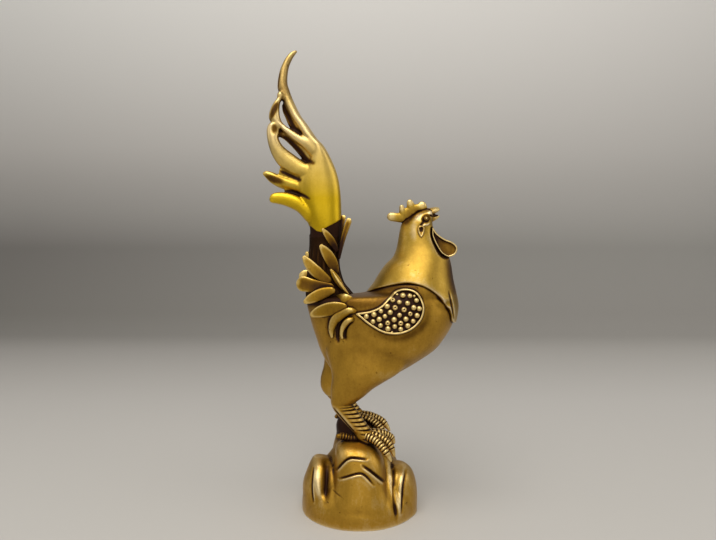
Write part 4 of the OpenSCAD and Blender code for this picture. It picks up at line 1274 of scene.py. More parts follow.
@dataclass
class Neck:
    """The cape, neck and head: one loft whose hem follows the cape's edge."""

    sides: int = 200
    rings: int = 210
    crowd: float = 1.1
    hem: float = 0.8
    bulge: Pair = (0.1, 0.4)
    carving: tuple = (
        # Painted shade: this pocket and the next stroke behind the wattle, the broad stroke down the
        # neck's right edge, and the two strokes along the comb's seam.
        Pocket(((38.2, 146.8), (40.2, 144.1), (42.2, 142.3), (45.2, 140.5), (48.3, 139.3),
                (50.3, 137.8), (51.2, 136), (50.9, 133.9), (49.4, 132.1), (46.7, 131.2),
                (44.3, 132.1), (42.2, 133.9), (40.2, 137.2), (38.6, 140.5), (37.8, 143.5)), 2.6),
        Stroke(((37.4, 145.6), (38.2, 141), (40, 136.6), (42.8, 132.4), (46, 130.2)), .9, .3,
               dark=.45, fade=.35),
        Stroke(((46.2, 131), (48.8, 126), (50.2, 117), (50.6, 111)), 4.0, .1, dark=.6, fade=.4),
        Stroke(((25.4, 150.3), (27.8, 153), (29.8, 155), (31.8, 156.2), (36.6, 157.1)), 1.3, .2,
               dark=.62, fade=.2),
        Stroke(((23.4, 148.6), (24.8, 149.9), (26, 151.4)), 1.6, .1, dark=.45, fade=.3),
        # Painted highlights: this stroke on the temple and the next one behind the eye and ear lobe.
        Stroke(((28.3, 150.5), (30.4, 153), (32.8, 154.7)), 2.0, -.15, dark=0, painted_highlight=1.0),
        Stroke(((28.6, 149.5), (28.2, 145), (28.4, 140)), 1.6, -.08, dark=0, painted_highlight=.5),
        # The eye's socket: this dent and the next stroke are painted dark as shade.
        Dent((34.5, 151.2), (2.25, 2.05), 30, .9, 1.0),
        Stroke(((33.6, 150), (32.4, 148.4), (31.4, 147)), .55, .5, dark=.95),
        # Raises the strap below the eye and paints a highlight on it.
        Stroke(((31.6, 146.4), (33.2, 147.5), (34.9, 147.9), (36.2, 148.7)), .5, -.4, dark=0,
               painted_highlight=.8),
        Stroke(((36.3, 152.9), (37.4, 152.7), (38.6, 152.6)), .4, .7, dark=1),
        Stroke(((35.8, 156.4), (36.9, 156.2), (38.2, 155.6)), .4, .5, dark=1, fade=.3),
        Dent((45, 107.4), (2.2, 1.5), 0, .8),
        Stroke(((45.2, 113.6), (46.3, 108.5), (47.3, 103.6), (48, 100)), .45, .45, .15, 1,
               dark=.9),
    )
    rows: tuple = (
        (-.04, -.16, 1.01, -.36, .46), (.08, .01, 1.045, -.16, .455), (.15, .1, 1.02, 0, .43),
        (.21, .2, .99, .14, .385), (.28, .295, .97, .28, .32), (.355, .37, .94, .38, .265),
        (.392, .46, .87, .49, .215), (.412, .56, .815, .59, .183), (.43, .66, .78, .68, .163),
        (.46, .74, .772, .725, .152), (.56, .81, .775, .765, .142), (.66, .865, .775, .805, .122),
        (.725, .885, .77, .84, .09),
    )
    edge: tuple = (
        (-.3, -.03), (-.1, -.02), (.08, .01), (.2, .06), (.45, .115), (.6, .095), (.69, .06),
        (.76, .015), (.82, -.035), (.86, -.09), (.89, -.125), (.92, -.15), (.945, -.21),
        (.97, -.29), (1.1, -.33),
    )

    def loft(self) -> Form:
        """The skin from the hem up.

        Each column of the loft is kept from where it crosses the edge curve, spaced
        again over the same number of rows, and led round a quarter of a circle of
        the hem's radius and in under the cape.

        Returns:
            The closed neck and head.
        """
        p = PLAN
        rows = rungs(self.rows, (0, p.saddle_z), (p.neck_l, p.neck_l, p.cape_w))
        grid = ladder(rows, self.sides, 18, 0)
        level = (grid[..., 2].mean(1) - p.saddle_z) / p.neck_l
        cape, head = self.bulge
        bulge = cape + (head - cape) * step(level, .6, .75)
        grid[..., 1] *= 1 + bulge[:, None] * circle(self.sides)[:, 0]
        edge = smooth(np.array(self.edge), 8) * p.neck_l
        gap = grid[..., 2] - (p.saddle_z + np.interp(grid[..., 0], edge[:, 0], edge[:, 1]))
        first = (gap > 0).argmax(0)
        col = np.arange(self.sides)
        low, high = gap[np.maximum(first - 1, 0), col], gap[first, col]
        start = np.where(first > 0, first - 1 + low / np.minimum(low - high, -LEAST), 0)
        even = (np.arange(self.rings) / (self.rings - 1))[:, None]
        v = start + (len(grid) - 1 - start) * even ** self.crowd
        i = np.minimum(v.astype(int), len(grid) - 2)
        f = (v - i)[..., None]
        body = grid[i, col] * (1 - f) + grid[i + 1, col] * f
        down = unit(body[0] - body[3])
        out = unit(np.cross(np.roll(body[0], -1, 0) - np.roll(body[0], 1, 0), down))
        out *= np.sign(((body[0] - body[0].mean(0)) * out).sum(-1, keepdims=True))
        turn = np.linspace(math.pi / 2, 0, 7)[:, None, None]
        hem = body[0] + self.hem * (np.sin(turn) * down + (np.cos(turn) - 1) * out)
        inner = body[0] - out * (self.hem * 3.2) + down * self.hem
        return skin(np.concatenate([inner[None], hem[:-1], body]))

    def pieces(self) -> list[Piece]:
        """The neck with its head."""
        form = self.loft()
        carve(form, self.carving)
        return [Piece("cape_neck_and_head", form, NECK, "neck_and_head", ("neck_and_head",))]


# The head


@dataclass
class Comb:
    """Four lobes on a low root, cast as one blade with rounded edges."""

    half: float = 1.5
    grain: float = 0.32
    rounds: int = 14
    lobes: tuple = (
        (-.36, .1, .13, -.66, .135, .11), (-.335, .19, .125, -.388, .405, .05),
        (-.1, .3, .17, -.172, .53, .066), (.17, .36, .13, .155, .43, .112),
    )
    root: tuple = ((-.36, .1), (-.235, .2), (-.1, .29), (.01, .36), (.2, .37), (.27, .37))
    root_halves: tuple = (.13, .165, .155, .115, .1, .07)

    def pieces(self) -> list[Piece]:
        """The comb, whose tips are bright and whose root is painted darker as shade by the head."""
        size, middle = PLAN.head_l, PLAN.head
        section = oval(40, 2.5)
        lobes = []
        for x0, z0, r0, x1, z1, r1 in self.lobes:
            a, b = (np.array([x, 0, z]) * size + [middle[0], 0, middle[1]]
                    for x, z in ((x0, z0), (x1, z1)))
            way = unit(b - a)
            lobes.append(rod([a - way * r0 * size, (a + b) / 2, b + way * r1 * size],
                             (r0 * size, (.8 * r0 + .2 * r1) * size,
                              (.4 * r0 + .6 * r1) * size, r1 * size),
                             (self.half, self.half, self.half * .9), section))
        r = np.array(self.root)
        knots = np.stack([r[:, 0] * size + middle[0], 0 * r[:, 0], r[:, 1] * size + middle[1]], 1)
        lobes.append(rod(knots, tuple(h * size for h in self.root_halves), (self.half,) * 3,
                         section))
        form = relaxed(melted(lobes, self.grain), self.rounds)
        tips = np.array([[x, z] for _, _, _, x, z, _ in self.lobes]) * size + middle
        near = np.linalg.norm(form.points[:, None, [0, 2]] - tips, axis=-1).min(1)
        form.rubbed = .45 * step(-near, -2.6, -.4)
        # Away from the tips, towards the head, the comb is painted darker as shade.
        form.cut = .16 * step(near, 1.5, 4)
        return [Piece("comb_lobes", form, COMB, "trim", ("comb",))]


@dataclass
class Beaks:
    """An open beak: a hooked upper half and a slim lower one."""

    upper: tuple = (
        (.22, .34, .3, .11, .15), (.32, .355, .37, .145, .15), (.42, .38, .445, .19, .13),
        (.52, .392, .535, .238, .095), (.59, .382, .602, .285, .06), (.62, .355, .624, .31, .03),
    )
    mouth: tuple = (
        (.3, .25, .3, 0, .1), (.4, .25, .4, .04, .085), (.46, .235, .46, .08, .06),
        (.52, .2, .52, .12, .04), (.58, .185, .58, .145, .02),
    )
    lower: tuple = (
        (.3, .13, .32, -.06, .12), (.39, .135, .4, -.02, .1), (.47, .138, .49, .03, .08),
        (.55, .15, .56, .07, .05), (.61, .165, .615, .125, .025), (.62, .16, .62, .135, .015),
    )
    nostril: Stroke = Stroke(((35.9, 156.3), (36.9, 156.1), (37.9, 155.6)), .4, .45, fade=.3)

    def half(self, shares: tuple, bulge: float) -> Form:
        """One half, widest towards its lower edge where the bulge is above zero."""
        size = PLAN.head_l
        return skin(ladder(rungs(shares, PLAN.head, (size, size, size)), 48, 10, bulge))

    def pieces(self) -> list[Piece]:
        """The two halves of the beak, the lower one with the mouth, painted fully dark as the shade
        inside the open beak.
        """
        upper, lower = self.half(self.upper, .5), self.half(self.lower, -.35)
        mouth = self.half(self.mouth, 0)
        carve(upper, [self.nostril])
        # The mouth fills the gap between the halves and is painted fully dark as shade.
        mouth.cut[:] = 1
        return [Piece("beak_top", upper, TRIM, "trim", ("upper_beak",)),
                Piece("beak_bottom", joined([lower, mouth]), TRIM, "trim", ("lower_beak",))]


@dataclass
class Eye:
    """A raised eyeball with a cut pupil, in almond lids."""

    side: Side
    head: Form
    place: Pair = (.692, .764)
    radius: float = 1.2
    lid_radius: float = .26
    lids: tuple = ((-1.95, -.75), (-1.15, -1.35), (0, -1.6), (1.05, -1.25), (1.6, -.1),
                   (1.15, 1.15), (.1, 1.6), (-1.05, 1.2), (-1.7, .25))

    def pieces(self) -> list[Piece]:
        """The eyeball with its pupil, and the lids laid on the head."""
        x, z = PLAN.on_head(self.place)
        loop = smooth(np.array(self.lids), 8, True) + [x, z]
        y = hull_heights(self.head, loop[:, 0], loop[:, 1])
        lids = hoop(np.stack([loop[:, 0], -y - .02, loop[:, 1]], 1), self.lid_radius)
        centre = hull_heights(self.head, np.array([x]), np.array([z]))[0]
        r = np.linspace(0, 1, 22)
        height = np.sqrt(1 - r ** 2) - .2 * np.exp(-((r - .5) / .08) ** 2)
        profile = np.concatenate([[[.96, -.5]], np.stack([r, height], 1)[:0:-1]])
        ball = domed(np.array([[x, -centre - .35, z]]), np.array([[0, -1., 0]]),
                     np.array([self.radius]), profile, 40)
        away = np.hypot(ball.points[:, 0] - x, ball.points[:, 2] - z) / self.radius
        ball.cut = .7 * np.exp(-((away - .55) / .08) ** 2)
        # The ball's crown is painted bright as a highlight.
        ball.rubbed = step(-away, -.5, -.3)
        # The lids are painted dark as shade, darker below than above.
        lids.cut = .6 - .2 * step(lids.points[:, 2] - z, -.4, .8)
        return [paired(self.side, "eyeball_and_lids", joined([ball, lids]), TRIM, "trim", "eye",
                       True)]


def plaque(outline: Array, rows: Array | tuple, lay: Callable[[Array, Array], Array]) -> Form:
    """A raised plate over an outline, on the right side.

    Each ring is the outline moved in by an inset, drawn towards the middle to a scale
    and laid at a stand in front of what carries it.

    Args:
        outline: x and z, clockwise.
        rows: inset, stand, scale, recess, and wear and highlight of each ring, from the back edge
            over the rim to the middle.
        lay: gives the distance from the middle plane at x and z.

    Returns:
        The closed plate with its masks.
    """
    middle = outline.mean(0)
    rings = []
    for inset, stand, scale, _, _ in rows:
        x, z = (middle + scale * (inward(outline, inset) - middle)).T
        rings.append(np.stack([x, -lay(x, z) - stand, z], 1))
    form = skin(np.array(rings))
    cut, rubbed = np.array(rows, float).T[3:]
    form.cut = spread(cut, len(outline), (0, cut[-1]))
    form.rubbed = spread(rubbed, len(outline))
    return form


@dataclass
class EarLobe:
    """A drop-shaped ear lobe with a thick rim round a dark hole."""

    side: Side
    head: Form
    place: Pair = (.636, .652)
    outline: tuple = ((0, 1.95), (1.1, 1.65), (1.85, .6), (1.8, -.75), (1.35, -2.3),
                      (.6, -3.9), (0, -4.3), (-.6, -3.9), (-1.35, -2.3), (-1.8, -.75),
                      (-1.85, .6), (-1.1, 1.65))
    # The last rows close the hole with a floor painted fully dark as the shade in the hole.
    rows: tuple = ((0, -1.4, 1, 0, 0), (0, .3, 1, 0, 0), (.1, .65, 1, 0, .3), (.3, .9, 1, .1, .7),
                   (.5, .98, 1, .3, .8), (.75, .9, 1, .2, .4), (.92, .7, 1, .3, 0),
                   (.98, .4, 1, .9, 0), (.98, .34, .7, 1, 0), (.98, .34, .3, 1, 0))
    rises: Row = (0, 0, 0, 0, 0, 0, .1, .4, .5, .5)

    def cheek(self, x: Array, z: Array) -> Array:
        """How far out the cheek behind the lobe is at x and z."""
        return hull_heights(self.head, x, z)

    def pieces(self) -> list[Piece]:
        """The ear lobe laid on the side of the head, its hole filled in low down."""
        at = PLAN.on_head(self.place)
        loop = smooth(np.array(self.outline), 8, True) + at
        form = plaque(loop, self.rows, self.cheek)
        low = 1 - step(form.points[:, 2] - at[1], -1.8, -.8)
        form.points[:, 1] -= spread(self.rises, len(loop), (0, self.rises[-1])) * low
        # Low down, where the hole is filled in, its painted shade is lighter.
        form.cut *= 1 - .75 * low
        return [paired(self.side, "ear_drop", form, TRIM, "trim", "ear_lobe", True)]


@dataclass
class Wattle:
    """A hanging wattle, dished inside a rolled rim."""

    side: Side
    inner: float = 2.0
    shares: tuple = (
        (.41, -.16), (.51, -.295), (.61, -.385), (.76, -.475), (.915, -.535), (1.015, -.61),
        (1.06, -.7), (1.045, -.805), (.97, -.895), (.835, -.94), (.715, -.895), (.61, -.805),
        (.51, -.64), (.43, -.475), (.39, -.325),
    )
    rows: tuple = (
        (.5, 0, 1, 0, 0), (.15, .15, 1, 0, 0), (0, .5, 1, 0, .1), (0, 1.5, 1, 0, .2),
        (.06, 1.85, 1, 0, .5), (.25, 2.12, 1, 0, .9), (.5, 2.2, 1, 0, 1), (.75, 2.12, 1, 0, .8),
        (.94, 1.85, 1, .3, .3), (1.02, 1.55, 1, .6, 0), (1.04, 1.42, .97, .55, 0),
        (1.04, 1.3, .85, .48, 0), (1.04, 1.2, .65, .42, 0), (1.04, 1.15, .4, .38, 0),
        (1.04, 1.15, .15, .36, 0),
    )

    def plane(self, x: Array, z: Array) -> Array:
        """The wattle's inner side, which is flat and upright."""
        return np.full(len(x), self.inner)

    def pieces(self) -> list[Piece]:
        """The wattle, with shade painted darker towards its top, under the head."""
        loop = smooth(np.array(self.shares) * PLAN.head_l, 10, True) + PLAN.head
        form = plaque(loop, self.rows, self.plane)
        # Painted shade, darker towards the top under the head.
        form.cut *= .8 + .8 * step(form.points[:, 2], 134, 143)
        return [paired(self.side, "wattle_dish", form, TRIM, "trim", "wattle")]


# Wings


@dataclass
class Wing:
    """A comma-shaped wing shield with a wire rim, a dark field and round beads."""

    side: Side
    trunk: Trunk
    root: float = -.9
    rim: float = .5
    top: float = 2.6
    floor: float = 1.4
    scales: Row = (1.0, .8, .55, .3, .1)
    recess: Row = (0, 0, 0, 0, 0, 0, 0, 0, .2, .8, .95, .95, .8, .75, .75, .75)
    rubbed: Row = (0, 0, .1, .3, .7, 1, 1, .9, .5, 0, 0, 0, 0, 0, 0, 0)
    shares: tuple = (
        (0, 0), (.2, .04), (.35, .11), (.46, .22), (.58, .33), (.74, .36), (.89, .3),
        (.98, .12), (.95, -.06), (.82, -.21), (.62, -.29), (.4, -.275), (.2, -.17),
        (.06, -.06),
    )
    rows: tuple = (
        ((.15, -.04), (.375, 0), (.525, .19)), ((.245, -.11), (.515, -.03), (.675, .25)),
        ((.35, -.165), (.675, -.08), (.775, .25)), ((.455, -.21), (.757, -.135), (.865, .185)),
        ((.635, -.215), (.855, -.135), (.903, .07)),
    )
    counts: tuple[int, ...] = (5, 7, 7, 7, 5)
    small: tuple = ((.595, .265), (.838, .25), (.512, -.265), (.124, -.085))
    bead: float = 1.4
    small_bead: float = .75
    bead_sides: int = 24
    pierced: tuple[int, ...] = (4, 9, 13, 16, 21, 23)

    def section(self) -> Array:
        """The shield's rows: up the outside, round the rim of half a circle, and in.

        Returns:
            Inset, stand, scale, recess, and wear and highlight of each ring.
        """
        foot = 2 * self.rim + .06
        rim = [(self.rim * (1 - math.cos(t)), self.top - self.rim + self.rim * math.sin(t), 1)
               for t in np.linspace(0, math.pi, 9)]
        rows = [(0, self.root, 1), *rim, (2 * self.rim + .05, self.floor + .25, 1),
                *((foot, self.floor, scale) for scale in self.scales)]
        return np.column_stack([rows, self.recess, self.rubbed])

    def shield(self) -> Form:
        """The shield laid on the trunk's side."""
        loop = smooth(np.array(self.shares) * PLAN.wing_l, 14, True) + PLAN.wing
        return plaque(loop, self.section(), self.trunk.side_at)

    def places(self) -> tuple[Array, Array]:
        """Where the beads stand, as x and z, and their radii, which waver by 7 in 100."""
        large = np.vstack([bent(*row, count) for row, count in
                           zip(np.array(self.rows), self.counts)])
        wobble = 1 + .07 * np.sin(np.arange(len(large)) * 2.4)
        spots = np.vstack([large, self.small]) * PLAN.wing_l + PLAN.wing
        return spots, np.append(self.bead * wobble, np.full(len(self.small), self.small_bead))

    def beads(self) -> Form:
        """Round beads square to the shield; some have a small pit in the crown.

        The slopes of the side are taken over a bead's radius, and the normal is
        (-dy/dx, -1, -dy/dz) with the side's distance as y.

        Returns:
            The beads, plain ones first, dark at the foot and in the pits.
        """
        spots, radii = self.places()
        pitted = np.isin(np.arange(len(spots)), self.pierced)
        order = np.argsort(pitted, kind="stable")
        (x, z), r, pitted = spots[order].T, radii[order], pitted[order]
        y, run = self.trunk.side_at(x, z), self.bead
        lean_x = (self.trunk.side_at(x + run, z) - self.trunk.side_at(x - run, z)) / (2 * run)
        lean_z = (self.trunk.side_at(x, z + run) - self.trunk.side_at(x, z - run)) / (2 * run)
        lie = unit(np.stack([-lean_x, -np.ones(len(x)), -lean_z], 1))
        spot = np.stack([x, -y - self.floor + .12, z], 1)
        turn = np.linspace(-.35, math.pi / 2, 9)[:-1]
        plain = np.concatenate([np.stack([np.cos(turn), .3 + np.sin(turn)], 1), [[.08, 1.3]]])
        pit = np.concatenate([plain[:-2], [[.42, 1.2], [.3, 1.13], [.22, .85], [.06, .78]]])
        out = joined([domed(spot[m], lie[m], r[m], profile, self.bead_sides)
                      for m, profile in ((~pitted, plain), (pitted, pit))])
        which = np.repeat(np.arange(len(spot)),
                          np.where(pitted, len(pit), len(plain)) * self.bead_sides + 2)
        away = out.points - spot[which]
        rise = (away * lie[which]).sum(1) / r[which]
        off = np.linalg.norm(np.cross(away, lie[which]), axis=1) / r[which]
        out.rubbed = step(rise, .55, 1.2)
        hole = pitted[which] & (off < .27) & (rise > .6)
        out.cut = np.maximum(step(-rise, -.75, -.2), np.where(hole, .95, 0))
        return out

    def pieces(self) -> list[Piece]:
        """The shield and the beads on it."""
        return [paired(self.side, "wing_shield", self.shield(), TRIM, "body", "wing"),
                paired(self.side, "bead_field", self.beads(), TRIM, "trim", "wing_beads")]


@dataclass
class Feathers:
    """The three feathers that sweep back from behind a wing."""

    side: Side
    trunk: Trunk
    thick: float = 3.0
    sunk: float = 2.6
    paths: tuple = (
        ("upper_plumelet", "upper_wing_feather", .12, .6, 1,
         ((.02, .012), (-.03, .03), (-.11, .035), (-.2, -.02), (-.31, -.1), (-.365, -.235),
          (-.36, -.38)),
         (.03, .05, .062, .07, .062, .045, .022)),
        ("lower_plumelet", "lower_wing_feather", .12, .6, 1,
         ((-.045, -.075), (-.06, -.09), (-.12, -.11), (-.17, -.165), (-.205, -.235),
          (-.218, -.32), (-.2, -.385)),
         (.033, .042, .046, .043, .034, .027, .018)),
        ("saddle_plumelet", "saddle_feather", .2, .2, .65,
         ((-.04, .155), (-.12, .18), (-.2, .205), (-.3, .235)),
         (.06, .085, .066, .025)),
    )

    def feather(self, dish: float, stand: float, thin: float, knots: tuple,
                halves: tuple) -> Form:
        """One feather along the right side of the trunk, its root sunk into the casting.

        Args:
            dish: how hollow its outer face is.
            stand: how far in front of the trunk's side it lies.
            thin: its thickness as a share of the common one.
            knots: its line from the wing's tail point, as shares of the wing's length.
            halves: its half widths likewise.

        Returns:
            The closed feather.
        """
        k = np.array(knots) * PLAN.wing_l + PLAN.wing
        y = self.trunk.side_at(k[:, 0], k[:, 1])
        stands = stand - self.sunk * (1 - step(np.arange(len(k)), -.5, 2.2))
        half = thin * self.thick / 2
        return rod(np.stack([k[:, 0], -y - stands, k[:, 1]], 1),
                   tuple(h * PLAN.wing_l for h in halves),
                   (half, half, half * .9, half * .7), oval(48, 2, dish), 90)

    def pieces(self) -> list[Piece]:
        """The three feathers, each with a dished face."""
        return [paired(self.side, name, self.feather(*sizes), LEAF, "leaves", node)
                for name, node, *sizes in self.paths]


# The tail


@dataclass
class Stem:
    """The dark tail stem, ribbed lengthwise like the quills of many feathers."""

    ribs: int = 17
    depth: float = .4
    sides: int = 192
    shares: tuple = (
        (-.5, -.36, .82, -.3, .55), (-.6, -.15, .92, -.1, .54), (-.62, 0, .78, .04, .52),
        (-.6, .18, .58, .2, .5), (-.55, .5, .45, .5, .46), (-.51, .8, .46, .8, .38),
        (-.5, .93, .48, .93, .33), (-.5, 1.08, .49, 1.08, .31),
    )

    def pieces(self) -> list[Piece]:
        """The stem; its ribs are cos(n u) round it, and sway a little with height."""
        p = PLAN
        rows = rungs(self.shares, (p.stem_x, p.saddle_z), (p.stem_d, p.stem_h, p.stem_d))
        grid = ladder(rows, self.sides, 14)
        form = skin(grid)
        turn, v = turns(self.sides), np.linspace(0, 1, len(grid))[:, None]
        sway = .9 * np.sin(5 * v + turn)
        wave = np.cos(self.ribs * turn + sway + .5 * np.sin(3 * turn + 2)) * .5 + .5
        wave = spread(wave, self.sides, (1, 1))
        fade = spread(1 - step(v[:, 0], .6, .85), self.sides)
        form.push(-self.depth * fade * (1 - wave) ** 2)
        form.cut = .45 * (1 - wave) * fade + .3 * (1 - fade)
        return [Piece("ribbed_stem", form, DARK, "leaves", ("tail_stem",))]


@dataclass
class Plume:
    """The great flame-shaped plume: five blades that run into one casting."""

    grain: float = .46
    rounds: int = 70
    power: float = 2.2
    sunk: float = .35
    blades: tuple = (
        ((-.088, 0, .083, 0, 0, .42), (-.085, .055, .086, .06, 0, .5),
         (-.105, .12, .085, .14, 0, .52), (-.138, .205, .079, .25, 0, .5),
         (-.15, .295, .064, .335, 0, .47), (-.1, .393, .036, .41, 0, .43),
         (-.072, .475, -.004, .485, 0, .4), (-.12, .535, -.044, .53, 0, .37),
         (-.158, .598, -.092, .6, 0, .34), (-.191, .65, -.13, .652, 0, .32),
         (-.226, .724, -.168, .728, 0, .29), (-.25, .785, -.19, .785, 0, .27),
         (-.252, .825, -.201, .825, 0, .25), (-.244, .875, -.2, .87, 0, .22),
         (-.23, .917, -.193, .911, 0, .19), (-.208, .958, -.178, .948, 0, .16),
         (-.182, .986, -.164, .972, 0, .12), (-.155, .997, -.148, .991, 0, .06)),
        ((-.02, .36, -.01, .49, 0, .38), (-.095, .443, -.06, .54, -.02, .36),
         (-.13, .482, -.116, .544, -.05, .33), (-.187, .526, -.16, .564, -.1, .3),
         (-.24, .575, -.205, .59, -.16, .26), (-.288, .615, -.23, .62, -.22, .23),
         (-.292, .655, -.239, .665, -.25, .21), (-.274, .7, -.235, .71, -.25, .18),
         (-.252, .735, -.222, .735, -.22, .15), (-.252, .752, -.218, .752, -.2, .18),
         (-.243, .77, -.224, .77, -.2, .11)),
        ((-.09, .19, .03, .31, 0, .4), (-.13, .305, -.055, .388, 0, .37),
         (-.18, .336, -.103, .402, -.04, .34), (-.243, .385, -.175, .45, -.1, .32),
         (-.278, .438, -.219, .485, -.17, .29), (-.298, .498, -.242, .523, -.23, .26),
         (-.305, .56, -.238, .56, -.26, .22), (-.297, .592, -.239, .594, -.26, .21),
         (-.283, .607, -.252, .608, -.26, .12)),
        ((-.02, .17, -.02, .31, 0, .38), (-.09, .213, -.115, .302, 0, .34),
         (-.165, .245, -.17, .318, .04, .3), (-.24, .27, -.24, .34, .08, .26),
         (-.29, .298, -.29, .358, .1, .21), (-.32, .328, -.32, .36, .1, .14),
         (-.333, .343, -.333, .35, .1, .06)),
        ((-.02, .06, .01, .19, 0, .42), (-.088, .082, -.078, .2, -.03, .4),
         (-.145, .14, -.14, .226, -.1, .34), (-.205, .17, -.19, .24, -.17, .29),
         (-.25, .182, -.237, .243, -.22, .25), (-.281, .188, -.272, .236, -.25, .2),
         (-.291, .2, -.287, .222, -.25, .1)),
    )
    webs: tuple = (
        ((-.23, .708, -.207, .718, 0, .13), (-.226, .675, -.183, .685, 0, .15),
         (-.212, .641, -.163, .654, 0, .16), (-.198, .607, -.146, .62, 0, .17),
         (-.18, .577, -.122, .587, 0, .18), (-.143, .553, -.099, .556, 0, .2)),
        ((-.252, .54, -.24, .59, -.12, .12), (-.215, .522, -.19, .56, -.06, .14),
         (-.163, .472, -.151, .523, 0, .17), (-.129, .431, -.117, .492, 0, .19),
         (-.102, .399, -.083, .452, 0, .21), (-.062, .384, -.045, .408, 0, .24)),
        ((-.24, .377, -.247, .337, 0, .12), (-.197, .357, -.203, .317, 0, .16),
         (-.163, .34, -.166, .3, 0, .2), (-.126, .32, -.126, .286, 0, .24)),
        ((-.217, .269, -.214, .232, 0, .12), (-.163, .256, -.163, .225, 0, .16),
         (-.116, .236, -.116, .215, 0, .2), (-.075, .215, -.075, .195, 0, .24)),
    )
    # The first four strokes paint the slits along the webs dark as their shade; the fifth stroke and
    # the three dents paint shade on the sickle's left edge and on lobes turned away.
    carving: tuple = (
        Stroke(((-40.5, 212.2), (-39.3, 208.8), (-37.6, 205.5), (-36, 202.2), (-34.1, 199),
                (-31.2, 196.4)), 1.0, .3, dark=1, fade=.3),
        Stroke(((-41, 195.1), (-37.7, 193.1), (-34.3, 190), (-30.9, 186.5), (-27.9, 182.7),
                (-24.1, 180.1)), 1.1, .3, dark=1, fade=.3),
        Stroke(((-41.7, 176.7), (-37.7, 174.7), (-34.3, 173.1), (-30.9, 171.5)), .8, .3, dark=1,
               fade=.3),
        Stroke(((-39.7, 166), (-34.3, 165), (-29.6, 163.5), (-26.2, 161.5)), .7, .4, dark=1,
               fade=.3),
        Stroke(((-42.5, 219.3), (-42.4, 224), (-41.6, 229.4)), .6, .2, dark=.6),
        Dent((-44.1, 197.8), (1.7, 2.8), 0, .5, .45),
        Dent((-44.4, 207.6), (1.8, 5.6), -22, .2, .6),
        Dent((-45.4, 172.4), (6.2, 2.0), -20, .2, .55),
    )
    foot: tuple = ((-30, 149.5), (-25.1, 147.1), (-22.3, 144.8), (-19.5, 144.1), (-17.9, 146.1),
                   (-14.9, 147.8), (-11.6, 149.6), (-9.3, 151.3), (-5, 152.5))

    def blade(self, shares: tuple) -> Form:
        """One blade, from its two edges, its place and its half thickness."""
        p = PLAN
        rows = rungs(shares, (p.stem_x, p.plume_z), (p.plume_h, p.plume_h, p.plume_t))
        return skin(ladder(rows, 72, 10, power=self.power))

    def pieces(self) -> list[Piece]:
        """The plume, whose foot below a stepped line is dark and set back."""
        lumps = [self.blade(b) for b in self.blades + self.webs]
        form = relaxed(melted(lumps, self.grain), self.rounds)
        carve(form, self.carving)
        line = np.array(self.foot)
        x, _, z = form.points.T
        below = step(np.interp(x, line[:, 0], line[:, 1]) - z, -.15, .35)
        form.push(-self.sunk * below)
        form.cut = np.maximum(form.cut, np.maximum(.9 * below, .3 * step(z, 203, 222)))
        return [Piece("flame_plume", form, PLUME, "plume", ("tail_plume",))]


